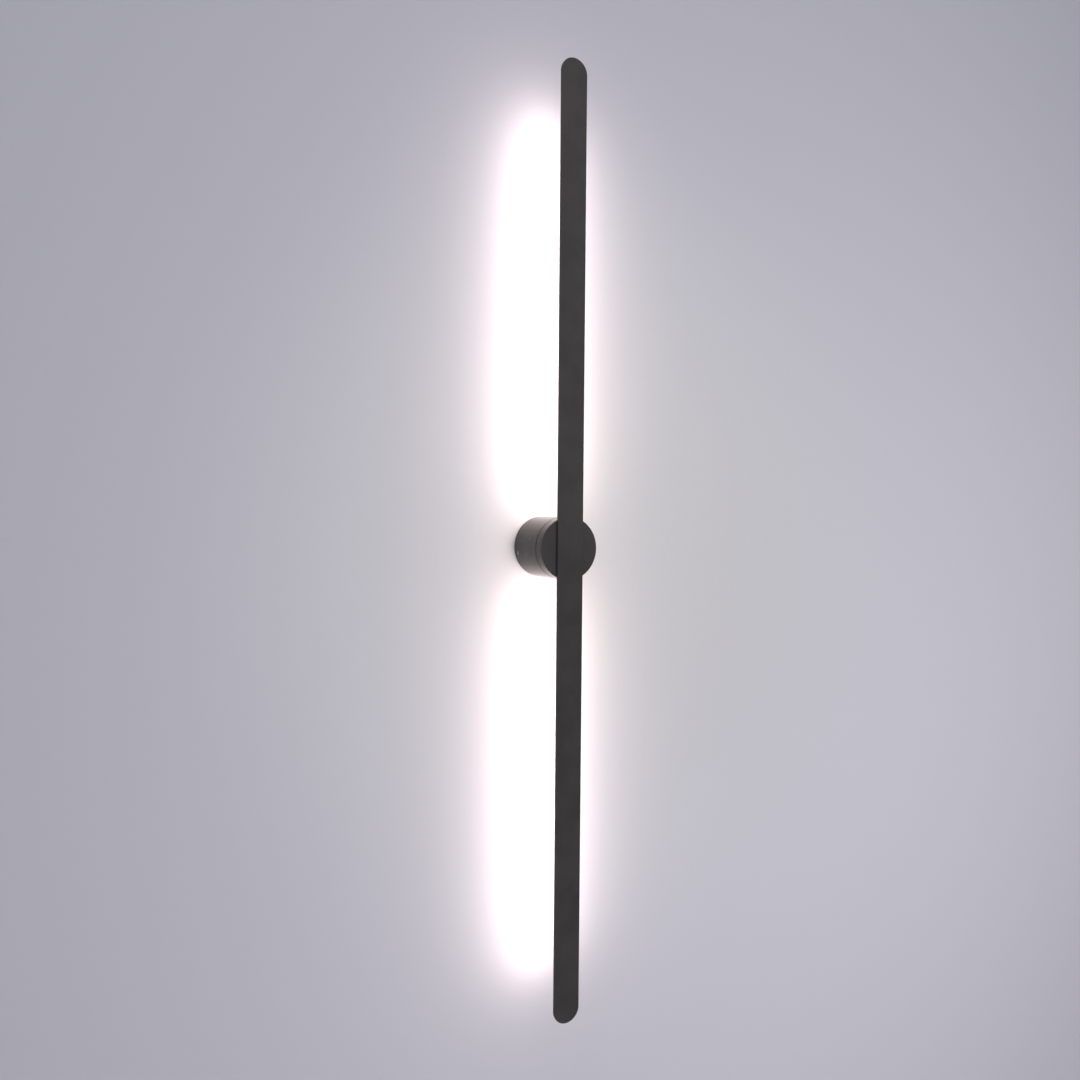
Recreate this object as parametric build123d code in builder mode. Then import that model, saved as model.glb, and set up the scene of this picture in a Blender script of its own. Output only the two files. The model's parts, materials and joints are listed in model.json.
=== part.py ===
from build123d import *
import os
from math import sqrt

os.makedirs("parts", exist_ok=True)

# Wall sconce: a slim upright light bar on a round hub, lit towards the wall.
# The bar and the front of the hub turn together on a hollow pivot.
# Millimetres. +X is right, +Z is up, the wall is the plane Y = 0 and the room is towards -Y.
# The origin is on the hub's axis at the wall. A depth is a distance from the wall.

# Light bar
bar_length = 1000.0
bar_width = 30.0
bar_thickness = 2.5
bar_edge_chamfer = 0.4
bar_skin = 0.5  # metal left in front of the blind screw holes
rail_span = 18.0  # over the outsides of the two rails
rail_thickness = 1.3
rail_depth = 8.0
rail_end_inset = 34.0  # bar tip to rail end
ridge_reach = 0.6  # snap ridge inside each rail
ridge_height = 0.8

# Opal diffusers, end caps and LED boards
diffuser_face = 1.2
diffuser_leg = 0.9
hook_height = 0.9
snap_clearance = 0.15
diffuser_gap = 0.5  # hub rim to diffuser
cap_plug = 6.0
cap_cover = 1.5
board_width = 12.0
board_thickness = 1.0
board_gap = 2.0  # hub rim to board
board_end_gap = 4.0  # board to end cap
chip_width = 2.8
chip_length = 3.5
chip_height = 0.8
chip_pitch = 11.0
chip_lead_room = 6.0  # board end to first chip, where the leads are soldered

# Hub: fixed cup, seam and swivel head
hub_diameter = 66.0
hub_depth = 62.0  # wall to the head's face
seam_gap = 1.0
cup_wall = 2.5
cup_front = 3.0
hub_edge_chamfer = 0.6
seam_edge_chamfer = 0.3
head_web = 3.75  # metal behind the rail grooves
rail_clearance = 0.25
ridge_clearance = 0.5
wire_groove_width = 5.0
wire_groove_depth = 5.0

# Pivot
tube_diameter = 10.0
tube_bore = 7.0
tube_tail = 0.65  # tube end past the nut
pivot_flange_diameter = 25.0
pivot_flange_thickness = 2.0
pivot_screw_circle = 18.0
pivot_screw_cover = 1.5  # metal between a screw tip and the wire groove
bush_sleeve_diameter = 14.0
bush_rim_gap = 2.5  # bush flange to stop groove
running_clearance = 0.06
seat_clearance = 0.05
slide_washer_diameter = 22.0
slide_washer_thickness = 1.0
spring_diameter = 20.0
spring_thickness = 0.7
spring_height = 1.3
nut_across_flats = 14.0
nut_height = 4.0
stop_inset = 8.0  # hub rim to the stop pin's circle
stop_pin_diameter = 4.0
stop_pin_grip = 5.0  # length pressed into the head
stop_groove_depth = 1.5
stop_clearance = 0.3
stop_tip_clearance = 0.2
swivel_limit = 165.0  # degrees each way

# Fasteners
screw_sides = 12  # flats on the round of a hidden screw
screw_diameter = 3.0
screw_head_diameter = 5.5
screw_head_height = 2.0
counterbore_diameter = 6.0
counterbore_depth = 3.2
bar_screw_head_height = 3.0
bar_screw_inset = 10.0  # hub rim to the bar screws' circle
bar_screw_tip_gap = 0.2
screw_hole_clearance = 0.2
thread_clearance = 0.05

# Wall bracket
bracket_thickness = 1.5
bracket_gap = 1.5  # bracket edge to cup
ear_width = 11.0
ear_height = 12.0
ear_bend = 1.0
ear_relief = 1.0
ear_angle = 12.0  # degrees from the horizontal
grub_diameter = 4.0
grub_depth = 6.5
grub_recess = 0.4
grub_tip = 0.6  # screw end past the ear
grub_chamfer = 0.4
slot_width = 4.5
slot_length = 9.0
slot_edge = 4.5  # slot end to bracket edge
earth_screw_diameter = 4.0
earth_head_diameter = 8.0
earth_head_height = 2.6
earth_inset = 9.0  # bracket edge to earth screw
earth_angle = 137.0

# Cable grommet in the bracket
cable_bore = 9.0
grommet_neck_wall = 1.5
grommet_flange_wall = 3.5
grommet_flange = 1.7
grommet_edge = 0.5

# Terminal block
pole_count = 3
pole_pitch = 8.0
terminal_height = 10.0
terminal_depth = 12.0
terminal_margin = 1.0  # block corner to bracket edge
terminal_well_diameter = 4.2
terminal_well_depth = 4.0
terminal_row_spacing = 5.0
terminal_screw_diameter = 3.4
terminal_screw_height = 2.5
terminal_rib = 1.0
terminal_rib_height = 1.2
wire_entry_width = 3.0
wire_entry_depth = 3.5
peg_diameter = 3.0
peg_tip_gap = 0.3

# Driver
driver_height = 26.0
driver_centre_height = 5.0
driver_wall = 1.5
driver_corner = 2.0
driver_ear_thickness = 2.5
boss_diameter = 7.6
boss_gap = 1.7  # boss to the cup's wall
boss_hole_depth = 8.0
ear_screw_room = 0.7  # screw head to the driver's side
lid_thickness = 1.5
lid_rim_depth = 2.0
lid_rim_wall = 1.2
lid_clearance = 0.15
wiring_room = 12.0  # wall to driver, for the supply wires
lead_room = 6.05  # tube end to driver, for the lamp leads
driver_board_thickness = 1.6
driver_board_edge = 0.5
transformer_size = 13.0
transformer_yoke = 9.0
component_edge = 5.0  # driver wall to the parts on the board
component_headroom = 3.0
capacitor_diameter = 9.0
capacitor_bead = 0.4

# Leads
lead_sides = 6  # flats on the round of a lead
mains_lead_diameter = 2.0
lamp_lead_diameter = 1.5
lamp_lead_spacing = 2.0
lamp_lead_split = 2.4  # between the upper and the lower pair in the tube
lead_hole_clearance = 0.1
lead_solder_length = 3.0
lead_joint_gap = 0.3  # half the gap between the fixed and the turning leads
lead_lie_gap = 0.05
mains_exit_depth = 8.0  # driver back to the mains leads
lamp_exit_depth = 3.0  # driver front to the lamp leads
lamp_lead_drop = 3.5
share_of_run = 0.45  # part of a run that a bend may take
lamp_bend = 3.0

# Worked-out places, as depths from the wall, radii and heights
hub_radius = hub_diameter / 2
cup_inner = hub_radius - cup_wall
head_depth = rail_depth + rail_clearance + head_web
head_back = hub_depth - head_depth
cup_depth = head_back - seam_gap
cup_floor = cup_depth - cup_front
rail_half = bar_length / 2 - rail_end_inset
rail_outer = rail_span / 2
rail_inner = rail_outer - rail_thickness
ridge_top = rail_depth - diffuser_face
ridge_bottom = ridge_top - ridge_height
diffuser_start = hub_radius + diffuser_gap
diffuser_end = rail_half - cap_plug
board_start = hub_radius + board_gap
board_end = diffuser_end - board_end_gap
board_top = hub_depth - board_thickness
tube_radius = tube_diameter / 2
bore_radius = tube_bore / 2
washer_back = cup_floor - slide_washer_thickness
spring_front = washer_back - seat_clearance
nut_front = spring_front - spring_height
tube_end = nut_front - nut_height - tube_tail
stop_circle = hub_radius - stop_inset
stop_pin_radius = stop_pin_diameter / 2
stop_groove_width = stop_pin_diameter + 2 * stop_clearance
bush_flange_radius = stop_circle - stop_groove_width / 2 - bush_rim_gap
bar_screw_x = (rail_outer + bar_width / 2) / 2
bar_screw_circle = hub_radius - bar_screw_inset
bar_screw_z = sqrt(bar_screw_circle**2 - bar_screw_x**2)
bracket_radius = cup_inner - bracket_gap
ear_middle = bracket_radius - bracket_thickness / 2
ear_foot = ear_middle - ear_bend - bracket_thickness / 2
slot_centre = bracket_radius - slot_edge - slot_length / 2
terminal_width = pole_count * pole_pitch
terminal_low = terminal_margin - sqrt(bracket_radius**2 - (terminal_width / 2) ** 2)
terminal_high = terminal_low + terminal_height
terminal_centre = (terminal_low + terminal_high) / 2
terminal_face = bracket_thickness + terminal_depth
grommet_radius = cable_bore / 2 + grommet_neck_wall
driver_front = tube_end - lead_room
driver_back = wiring_room
driver_low = driver_centre_height - driver_height / 2
boss_radius = boss_diameter / 2
boss_x = sqrt((cup_inner - boss_gap - boss_radius) ** 2 - driver_centre_height**2)
driver_width = 2 * (boss_x - screw_head_diameter / 2 - ear_screw_room)
case_back = driver_back + lid_thickness
case_floor = driver_front - driver_wall
pocket_width = driver_width - 2 * driver_wall
pocket_height = driver_height - 2 * driver_wall
driver_board_top = case_floor - driver_board_thickness
component_height = driver_board_top - case_back - component_headroom
transformer_x = pocket_width / 2 - component_edge - transformer_size / 2
capacitor_x = component_edge + capacitor_diameter / 2 - pocket_width / 2

sides = {"upper": 1, "lower": -1}
bar_screw_places = [(x, z) for x in (bar_screw_x, -bar_screw_x) for z in (bar_screw_z, -bar_screw_z)]
pivot_screw_places = [(0, pivot_screw_circle / 2), (0, -pivot_screw_circle / 2)]
boss_places = [(boss_x, driver_centre_height), (-boss_x, driver_centre_height)]
pole_places = [(pole - (pole_count - 1) / 2) * pole_pitch for pole in range(pole_count)]
terminal_rows = [terminal_centre + row * terminal_row_spacing / 2 for row in (1, -1)]
terminal_screw_places = [(x, z) for x in pole_places for z in terminal_rows]
mains_x = pole_places[-1]


def at(x, depth, z):
    """Point in the part's frame from a depth off the wall."""
    return (x, -depth, z)


def facing_room(depth):
    """Plane parallel to the wall whose normal points into the room."""
    return Plane.XZ.offset(depth)


def facing_wall(depth):
    """Plane parallel to the wall whose normal points at the wall, with +Z up and its x towards -X."""
    return Plane(origin=at(0, depth, 0), x_dir=(-1, 0, 0), z_dir=(0, 1, 0))


def across_bar(z):
    """Plane across the bar at a height: x across the bar, y from the bar's back face to the wall."""
    return Plane(origin=at(0, hub_depth, z), x_dir=(1, 0, 0), z_dir=(0, 0, 1))


def spoke(angle):
    """Direction out from the hub's axis, at an angle up from +X."""
    return Vector(1, 0, 0).rotate(Axis.Y, -angle)


def along_spoke(angle):
    """Plane through the hub's axis: x out along a spoke, y the depth from the wall."""
    return Plane(origin=(0, 0, 0), x_dir=spoke(angle), z_dir=spoke(angle - 90))


def at_ear(angle, radius):
    """Plane square to a spoke of the hub: x along the rim, y the depth from the wall."""
    return Plane(origin=spoke(angle) * radius, x_dir=spoke(angle + 90), z_dir=spoke(angle))


def flat_screws(seat, places, head_diameter, head_height, diameter, length):
    """Screws whose heads stand on a seat plane and whose shanks go down from it."""
    with BuildPart() as screws:
        with BuildSketch(seat):
            with Locations(*places):
                RegularPolygon(head_diameter / 2, screw_sides)
        extrude(amount=head_height)
        with BuildSketch(seat):
            with Locations(*places):
                RegularPolygon(diameter / 2, screw_sides)
        extrude(amount=-length)
    return screws.part


def lead_set(routes, diameter, bends):
    """Insulated leads swept along straight runs with rounded corners, one for each route."""
    with BuildPart() as leads:
        for route in routes:
            with BuildLine() as path:
                FilletPolyline(*route, radius=bends)
            with BuildSketch(Plane(origin=path.wire() @ 0, z_dir=path.wire() % 0)):
                RegularPolygon(diameter / 2, lead_sides)
            sweep(path=path.wire())
    return leads.part


def keep(part, name):
    """Name a finished piece and write it to its own file."""
    part.label = name
    export_step(part, f"parts/{name}.step")


# Base cup: open at the wall, closed in front, with two bosses for the driver
with BuildPart() as base_cup:
    with BuildSketch(Plane.XY):
        with BuildLine():
            Polyline(
                (bush_sleeve_diameter / 2 + seat_clearance, -cup_floor),
                (cup_inner, -cup_floor),
                (cup_inner, 0),
                (hub_radius, 0),
                (hub_radius, -cup_depth),
                (bush_sleeve_diameter / 2 + seat_clearance, -cup_depth),
                close=True,
            )
        make_face()
    revolve(axis=Axis.Y)
    rims = base_cup.edges().filter_by(GeomType.CIRCLE).group_by(SortBy.RADIUS)[-1]
    chamfer(rims.sort_by(Axis.Y)[0], seam_edge_chamfer)
    with BuildSketch(facing_room(driver_front)):
        with Locations(*boss_places):
            Circle(boss_radius)
    extrude(amount=cup_floor - driver_front)
    with BuildSketch(facing_room(driver_front)):
        with Locations(*boss_places):
            Circle(screw_diameter / 2 + thread_clearance)
    extrude(amount=boss_hole_depth, mode=Mode.SUBTRACT)
    for turn in (0, 180):
        with BuildSketch(at_ear(ear_angle + turn, cup_inner - cup_wall)):
            with Locations((0, grub_depth)):
                Circle(grub_diameter / 2 + screw_hole_clearance)
        extrude(amount=3 * cup_wall, mode=Mode.SUBTRACT)
    stop_paths = [
        CenterArc((0, 0), stop_circle, start, swivel_limit, mode=Mode.PRIVATE)
        for start in (-90, -90 - swivel_limit)
    ]
    with BuildSketch(facing_room(cup_depth)):
        for stop_path in stop_paths:
            SlotArc(stop_path, stop_groove_width)
    extrude(amount=-stop_groove_depth, mode=Mode.SUBTRACT)
keep(base_cup.part, "base_cup")

# Wall bracket: pressed steel disc with two bent ears that take the grub screws
with BuildPart() as wall_bracket:
    with BuildSketch(facing_room(0)):
        Circle(bracket_radius)
        Circle(grommet_radius + seat_clearance, mode=Mode.SUBTRACT)
        with PolarLocations(bracket_radius, 2, start_angle=ear_angle):
            Rectangle(2 * (bracket_radius - ear_foot), ear_width + 2 * ear_relief, mode=Mode.SUBTRACT)
        with Locations((slot_centre, 0), (-slot_centre, 0)):
            SlotOverall(slot_length, slot_width, mode=Mode.SUBTRACT)
        with PolarLocations(bracket_radius - earth_inset, 1, start_angle=earth_angle):
            Circle(earth_screw_diameter / 2 + thread_clearance, mode=Mode.SUBTRACT)
        with Locations(*[(x, terminal_centre) for x in (pole_pitch / 2, -pole_pitch / 2)]):
            Circle(peg_diameter / 2 + thread_clearance, mode=Mode.SUBTRACT)
    extrude(amount=bracket_thickness)
    for turn in (0, 180):
        with BuildSketch(along_spoke(ear_angle + turn)):
            with BuildLine():
                FilletPolyline(
                    (ear_foot - ear_bend, bracket_thickness / 2),
                    (ear_middle, bracket_thickness / 2),
                    (ear_middle, ear_height),
                    radius=ear_bend + bracket_thickness / 2,
                )
            trace(line_width=bracket_thickness)
        extrude(amount=ear_width / 2, both=True)
        with BuildSketch(at_ear(ear_angle + turn, ear_middle - bracket_thickness)):
            with Locations((0, grub_depth)):
                Circle(grub_diameter / 2 + thread_clearance)
        extrude(amount=2 * bracket_thickness, mode=Mode.SUBTRACT)
    ear_corners = wall_bracket.edges().filter_by(Axis((0, 0, 0), spoke(ear_angle))).group_by(Axis.Y)[0]
    chamfer(ear_corners, ear_width / 4)
keep(wall_bracket.part, "wall_bracket")

# Grub screws: one each side, through the cup and into the bracket's ears
with BuildPart() as grub_screws:
    grub_inner = bracket_radius - bracket_thickness - grub_tip
    for turn in (0, 180):
        with BuildSketch(at_ear(ear_angle + turn, grub_inner)):
            with Locations((0, grub_depth)):
                Circle(grub_diameter / 2)
        extrude(amount=hub_radius - grub_recess - grub_inner)
    chamfer(grub_screws.edges().filter_by(GeomType.CIRCLE), grub_chamfer)
keep(grub_screws.part, "grub_screws")

# Cable grommet: rubber bush with a flange on the room side
with BuildPart() as cable_grommet:
    with BuildSketch(Plane.XY):
        with BuildLine():
            Polyline(
                (cable_bore / 2, 0),
                (grommet_radius, 0),
                (grommet_radius, -bracket_thickness),
                (cable_bore / 2 + grommet_flange_wall, -bracket_thickness),
                (cable_bore / 2 + grommet_flange_wall, -bracket_thickness - grommet_flange),
                (cable_bore / 2, -bracket_thickness - grommet_flange),
                close=True,
            )
        make_face()
    revolve(axis=Axis.Y)
    flange_edges = cable_grommet.edges().filter_by(GeomType.CIRCLE).group_by(SortBy.RADIUS)[-1]
    chamfer(flange_edges.sort_by(Axis.Y)[0], grommet_edge)
keep(cable_grommet.part, "cable_grommet")

# Earth screw in the bracket
earth_place = Vector(bracket_radius - earth_inset, 0).rotate(Axis.Z, earth_angle)
earth_screw = flat_screws(
    facing_room(bracket_thickness),
    [(earth_place.X, earth_place.Y)],
    earth_head_diameter,
    earth_head_height,
    earth_screw_diameter,
    bracket_thickness - peg_tip_gap,
)
keep(earth_screw, "earth_screw")

# Terminal block: moulded poles with screw wells, wire entries and two pegs in the bracket
with BuildPart() as terminal_block:
    with BuildSketch(facing_room(bracket_thickness)):
        with Locations((0, terminal_centre)):
            Rectangle(terminal_width, terminal_height)
    extrude(amount=terminal_depth)
    with BuildSketch(facing_room(terminal_face)):
        with Locations(*[(x + pole_pitch / 2, terminal_centre) for x in pole_places[:-1]]):
            Rectangle(terminal_rib, terminal_height)
    extrude(amount=terminal_rib_height)
    with BuildSketch(facing_room(terminal_face)):
        with Locations(*terminal_screw_places):
            Circle(terminal_well_diameter / 2)
    extrude(amount=-terminal_well_depth, mode=Mode.SUBTRACT)
    entry_depth = bracket_thickness + terminal_depth / 2
    for face_height, into in ((terminal_high, -1), (terminal_low, 1)):
        with BuildSketch(Plane(origin=at(0, entry_depth, face_height), x_dir=(1, 0, 0), z_dir=(0, 0, 1))):
            with Locations(*[(x, 0) for x in pole_places]):
                Rectangle(wire_entry_width, wire_entry_width)
        extrude(amount=into * wire_entry_depth, mode=Mode.SUBTRACT)
    with BuildSketch(facing_room(bracket_thickness)):
        with Locations(*[(x, terminal_centre) for x in (pole_pitch / 2, -pole_pitch / 2)]):
            Circle(peg_diameter / 2)
    extrude(amount=peg_tip_gap - bracket_thickness)
keep(terminal_block.part, "terminal_block")

# Terminal screws at the bottom of their wells
with BuildPart() as terminal_screws:
    with BuildSketch(facing_room(terminal_face - terminal_well_depth)):
        with Locations(*terminal_screw_places):
            RegularPolygon(terminal_screw_diameter / 2, screw_sides)
    extrude(amount=terminal_screw_height)
keep(terminal_screws.part, "terminal_screws")

# Driver case: a tray open to the wall, with two ears on the cup's bosses
with BuildPart() as driver_case:
    with BuildSketch(facing_room(case_back)):
        with Locations((0, driver_centre_height)):
            RectangleRounded(driver_width, driver_height, driver_corner)
    extrude(amount=driver_front - case_back)
    with BuildSketch(facing_room(driver_front)):
        with Locations((0, driver_centre_height)):
            SlotOverall(2 * (boss_x + boss_radius), boss_diameter)
    extrude(amount=-driver_ear_thickness)
    with BuildSketch(facing_room(case_back)):
        with Locations((0, driver_centre_height)):
            RectangleRounded(pocket_width, pocket_height, driver_corner / 2)
    extrude(amount=case_floor - case_back, mode=Mode.SUBTRACT)
    with BuildSketch(facing_room(driver_front)):
        with Locations(*boss_places):
            Circle(screw_diameter / 2 + screw_hole_clearance)
    extrude(amount=-driver_ear_thickness, mode=Mode.SUBTRACT)
    bottom_wall = Plane(origin=(0, 0, driver_low), x_dir=(1, 0, 0), z_dir=(0, 0, 1))
    with BuildSketch(bottom_wall):
        with Locations(*[(x, -driver_back - mains_exit_depth) for x in (mains_x, -mains_x)]):
            Circle(mains_lead_diameter / 2 + lead_hole_clearance)
        with Locations(*[(side * lamp_lead_spacing / 2, lamp_exit_depth - driver_front) for side in (1, -1)]):
            Circle(lamp_lead_diameter / 2 + lead_hole_clearance)
    extrude(amount=driver_wall, mode=Mode.SUBTRACT)
keep(driver_case.part, "driver_case")

# Driver lid with a rim that plugs into the case
with BuildPart() as driver_lid:
    with BuildSketch(facing_room(driver_back)):
        with Locations((0, driver_centre_height)):
            RectangleRounded(driver_width, driver_height, driver_corner)
    extrude(amount=lid_thickness)
    rim_width = pocket_width - 2 * lid_clearance
    rim_height = pocket_height - 2 * lid_clearance
    with BuildSketch(facing_room(case_back)):
        with Locations((0, driver_centre_height)):
            RectangleRounded(rim_width, rim_height, driver_corner / 2)
            Rectangle(rim_width - 2 * lid_rim_wall, rim_height - 2 * lid_rim_wall, mode=Mode.SUBTRACT)
    extrude(amount=lid_rim_depth)
keep(driver_lid.part, "driver_lid")

# Driver board on the case's floor
with BuildPart() as driver_board:
    with BuildSketch(facing_room(driver_board_top)):
        with Locations((0, driver_centre_height)):
            Rectangle(pocket_width - 2 * driver_board_edge, pocket_height - 2 * driver_board_edge)
    extrude(amount=driver_board_thickness)
keep(driver_board.part, "driver_board")

# Transformer: a core with a wider winding round its middle
with BuildPart() as driver_transformer:
    with BuildSketch(facing_wall(driver_board_top)):
        with Locations((-transformer_x, driver_centre_height)):
            Rectangle(transformer_size, transformer_yoke)
    extrude(amount=component_height)
    with BuildSketch(facing_wall(driver_board_top - component_height / 4)):
        with Locations((-transformer_x, driver_centre_height)):
            RectangleRounded(transformer_yoke, transformer_size, driver_corner)
    extrude(amount=component_height / 2)
keep(driver_transformer.part, "driver_transformer")

# Capacitor can
with BuildPart() as driver_capacitor:
    with BuildSketch(facing_wall(driver_board_top)):
        with Locations((-capacitor_x, driver_centre_height)):
            Circle(capacitor_diameter / 2)
    extrude(amount=component_height)
    chamfer(driver_capacitor.edges().filter_by(GeomType.CIRCLE).sort_by(Axis.Y)[-1], capacitor_bead)
keep(driver_capacitor.part, "driver_capacitor")

# Driver screws, through the ears into the bosses
driver_screws = flat_screws(
    facing_wall(driver_front - driver_ear_thickness),
    boss_places,
    screw_head_diameter,
    screw_head_height,
    screw_diameter,
    driver_ear_thickness + boss_hole_depth - bar_screw_tip_gap,
)
keep(driver_screws, "driver_screws")

# Mains leads, from the driver down to the terminal block
mains_start = driver_back + mains_exit_depth
mains_turn = (driver_low + terminal_high) / 2
mains_drop = driver_low - mains_turn
mains_routes = [
    [
        at(x, mains_start, driver_low + driver_wall),
        at(x, mains_start, mains_turn),
        at(x, entry_depth, mains_turn),
        at(x, entry_depth, terminal_high - wire_entry_depth),
    ]
    for x in (mains_x, -mains_x)
]
mains_leads = lead_set(mains_routes, mains_lead_diameter, share_of_run * mains_drop)
keep(mains_leads, "mains_leads")

# Driver leads, from the driver round into the pivot tube
driver_exit = driver_front - lamp_exit_depth
driver_turn = driver_front + lead_room / 2
driver_routes = [
    [
        at(x, driver_exit, driver_low + driver_wall),
        at(x, driver_exit, driver_low - lamp_lead_drop),
        at(x, driver_turn, driver_low - lamp_lead_drop),
        at(x, driver_turn, 0),
        at(x, head_back - lead_joint_gap, 0),
    ]
    for x in (lamp_lead_spacing / 2, -lamp_lead_spacing / 2)
]
driver_leads = lead_set(driver_routes, lamp_lead_diameter, share_of_run * lamp_lead_drop)
keep(driver_leads, "driver_leads")

# Pivot bush: nylon sleeve in the cup's front, whose flange carries the head and sets the seam
with BuildPart() as pivot_bush:
    with BuildSketch(Plane.XY):
        with BuildLine():
            Polyline(
                (tube_radius + running_clearance, -cup_floor),
                (bush_sleeve_diameter / 2, -cup_floor),
                (bush_sleeve_diameter / 2, -cup_depth),
                (bush_flange_radius, -cup_depth),
                (bush_flange_radius, seat_clearance - head_back),
                (tube_radius + running_clearance, seat_clearance - head_back),
                close=True,
            )
        make_face()
    revolve(axis=Axis.Y)
keep(pivot_bush.part, "pivot_bush")

# Slide washer behind the cup's front
with BuildPart() as slide_washer:
    with BuildSketch(facing_room(washer_back)):
        Circle(slide_washer_diameter / 2)
        Circle(tube_radius + screw_hole_clearance, mode=Mode.SUBTRACT)
    extrude(amount=slide_washer_thickness)
keep(slide_washer.part, "slide_washer")

# Disc spring: a cone that presses the washer from the nut
with BuildPart() as disc_spring:
    spring_inner = tube_radius + screw_hole_clearance
    with BuildSketch(Plane.XY):
        with BuildLine():
            Polyline(
                (spring_inner, -nut_front),
                (spring_inner, -nut_front - spring_thickness),
                (spring_diameter / 2, -spring_front),
                (spring_diameter / 2, spring_thickness - spring_front),
                close=True,
            )
        make_face()
    revolve(axis=Axis.Y)
keep(disc_spring.part, "disc_spring")

# Pivot nut on the tube
with BuildPart() as pivot_nut:
    with BuildSketch(facing_wall(nut_front)):
        RegularPolygon(nut_across_flats / 2, 6, major_radius=False)
        Circle(tube_radius + thread_clearance, mode=Mode.SUBTRACT)
    extrude(amount=nut_height)
keep(pivot_nut.part, "pivot_nut")

# Pivot tube: hollow shaft whose flange is let into the back of the head
with BuildPart() as pivot_tube:
    with BuildSketch(Plane.XY):
        with BuildLine():
            Polyline(
                (bore_radius, -tube_end),
                (tube_radius, -tube_end),
                (tube_radius, -head_back),
                (pivot_flange_diameter / 2, -head_back),
                (pivot_flange_diameter / 2, -head_back - pivot_flange_thickness),
                (bore_radius, -head_back - pivot_flange_thickness),
                close=True,
            )
        make_face()
    revolve(axis=Axis.Y)
    with Locations(facing_wall(head_back)):
        with Locations(*pivot_screw_places):
            CounterSinkHole(
                screw_diameter / 2 + thread_clearance,
                screw_head_diameter / 2 + thread_clearance,
                pivot_flange_thickness,
                90,
            )
keep(pivot_tube.part, "pivot_tube")

# Pivot screws, flush in the flange
pivot_screw_length = head_depth - wire_groove_depth - pivot_screw_cover
with BuildPart() as pivot_screws:
    with BuildSketch(facing_room(head_back)):
        with Locations(*pivot_screw_places):
            Circle(screw_head_diameter / 2)
    extrude(amount=(screw_head_diameter - screw_diameter) / 2, taper=45)
    with BuildSketch(facing_room(head_back)):
        with Locations(*pivot_screw_places):
            Circle(screw_diameter / 2)
    extrude(amount=pivot_screw_length)
keep(pivot_screws.part, "pivot_screws")

# Swivel head: the front of the hub, grooved for the bar's rails and the lamp leads
with BuildPart() as swivel_head:
    with BuildSketch(facing_room(head_back)):
        Circle(hub_radius)
    extrude(amount=head_depth)
    chamfer(swivel_head.edges().sort_by(Axis.Y)[0], hub_edge_chamfer)
    chamfer(swivel_head.edges().sort_by(Axis.Y)[-1], seam_edge_chamfer)
    groove_inner = rail_inner - ridge_reach - ridge_clearance
    groove_outer = rail_outer + rail_clearance
    groove_middle = (groove_inner + groove_outer) / 2
    with BuildSketch(facing_room(hub_depth)):
        with Locations((groove_middle, 0), (-groove_middle, 0)):
            Rectangle(groove_outer - groove_inner, hub_diameter)
    extrude(amount=-rail_depth - rail_clearance, mode=Mode.SUBTRACT)
    with BuildSketch(facing_room(hub_depth)):
        Rectangle(wire_groove_width, hub_diameter)
    extrude(amount=-wire_groove_depth, mode=Mode.SUBTRACT)
    with BuildSketch(facing_room(head_back)):
        Circle(pivot_flange_diameter / 2 + thread_clearance)
    extrude(amount=pivot_flange_thickness, mode=Mode.SUBTRACT)
    with BuildSketch(facing_room(head_back)):
        Circle(bore_radius)
    extrude(amount=head_depth - wire_groove_depth, mode=Mode.SUBTRACT)
    with BuildSketch(facing_room(head_back)):
        with Locations(*pivot_screw_places):
            Circle(screw_diameter / 2 + thread_clearance)
    extrude(amount=pivot_screw_length + bar_screw_tip_gap, mode=Mode.SUBTRACT)
    with Locations(facing_wall(head_back)):
        with Locations(*bar_screw_places):
            CounterBoreHole(
                screw_diameter / 2 + screw_hole_clearance,
                counterbore_diameter / 2,
                counterbore_depth,
                head_depth,
            )
    with BuildSketch(facing_room(head_back)):
        with Locations((0, -stop_circle)):
            Circle(stop_pin_radius + thread_clearance)
    extrude(amount=stop_pin_grip, mode=Mode.SUBTRACT)
keep(swivel_head.part, "swivel_head")

# Stop pin: pressed into the head, runs in the cup's groove
with BuildPart() as stop_pin:
    pin_reach = seam_gap + stop_groove_depth - stop_tip_clearance
    with BuildSketch(facing_room(head_back - pin_reach)):
        with Locations((0, -stop_circle)):
            Circle(stop_pin_radius)
    extrude(amount=pin_reach + stop_pin_grip)
keep(stop_pin.part, "stop_pin")

# Bar: flat face with round ends, and the two rails of its extrusion behind it
with BuildPart() as bar_profile:
    with BuildSketch(facing_room(hub_depth)):
        SlotOverall(bar_length, bar_width, rotation=90)
    extrude(amount=bar_thickness)
    chamfer(bar_profile.faces().sort_by(Axis.Y)[0].edges(), bar_edge_chamfer)
    with BuildSketch(across_bar(-rail_half)):
        with BuildLine():
            Polyline(
                (rail_outer, 0),
                (rail_outer, rail_depth),
                (rail_inner, rail_depth),
                (rail_inner, ridge_top),
                (rail_inner - ridge_reach, ridge_top),
                (rail_inner - ridge_reach, ridge_bottom),
                (rail_inner, ridge_bottom),
                (rail_inner, 0),
                close=True,
            )
        make_face()
        mirror(about=Plane.YZ)
    extrude(amount=2 * rail_half)
    with BuildSketch(facing_room(hub_depth)):
        with Locations(*bar_screw_places):
            Circle(screw_diameter / 2 + thread_clearance)
    extrude(amount=bar_thickness - bar_skin, mode=Mode.SUBTRACT)
keep(bar_profile.part, "bar_profile")

# Bar screws, from the back of the head into the bar
bar_screws = flat_screws(
    facing_wall(head_back + counterbore_depth),
    bar_screw_places,
    screw_head_diameter,
    bar_screw_head_height,
    screw_diameter,
    head_depth - counterbore_depth + bar_thickness - bar_skin - bar_screw_tip_gap,
)
keep(bar_screws, "bar_screws")

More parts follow.
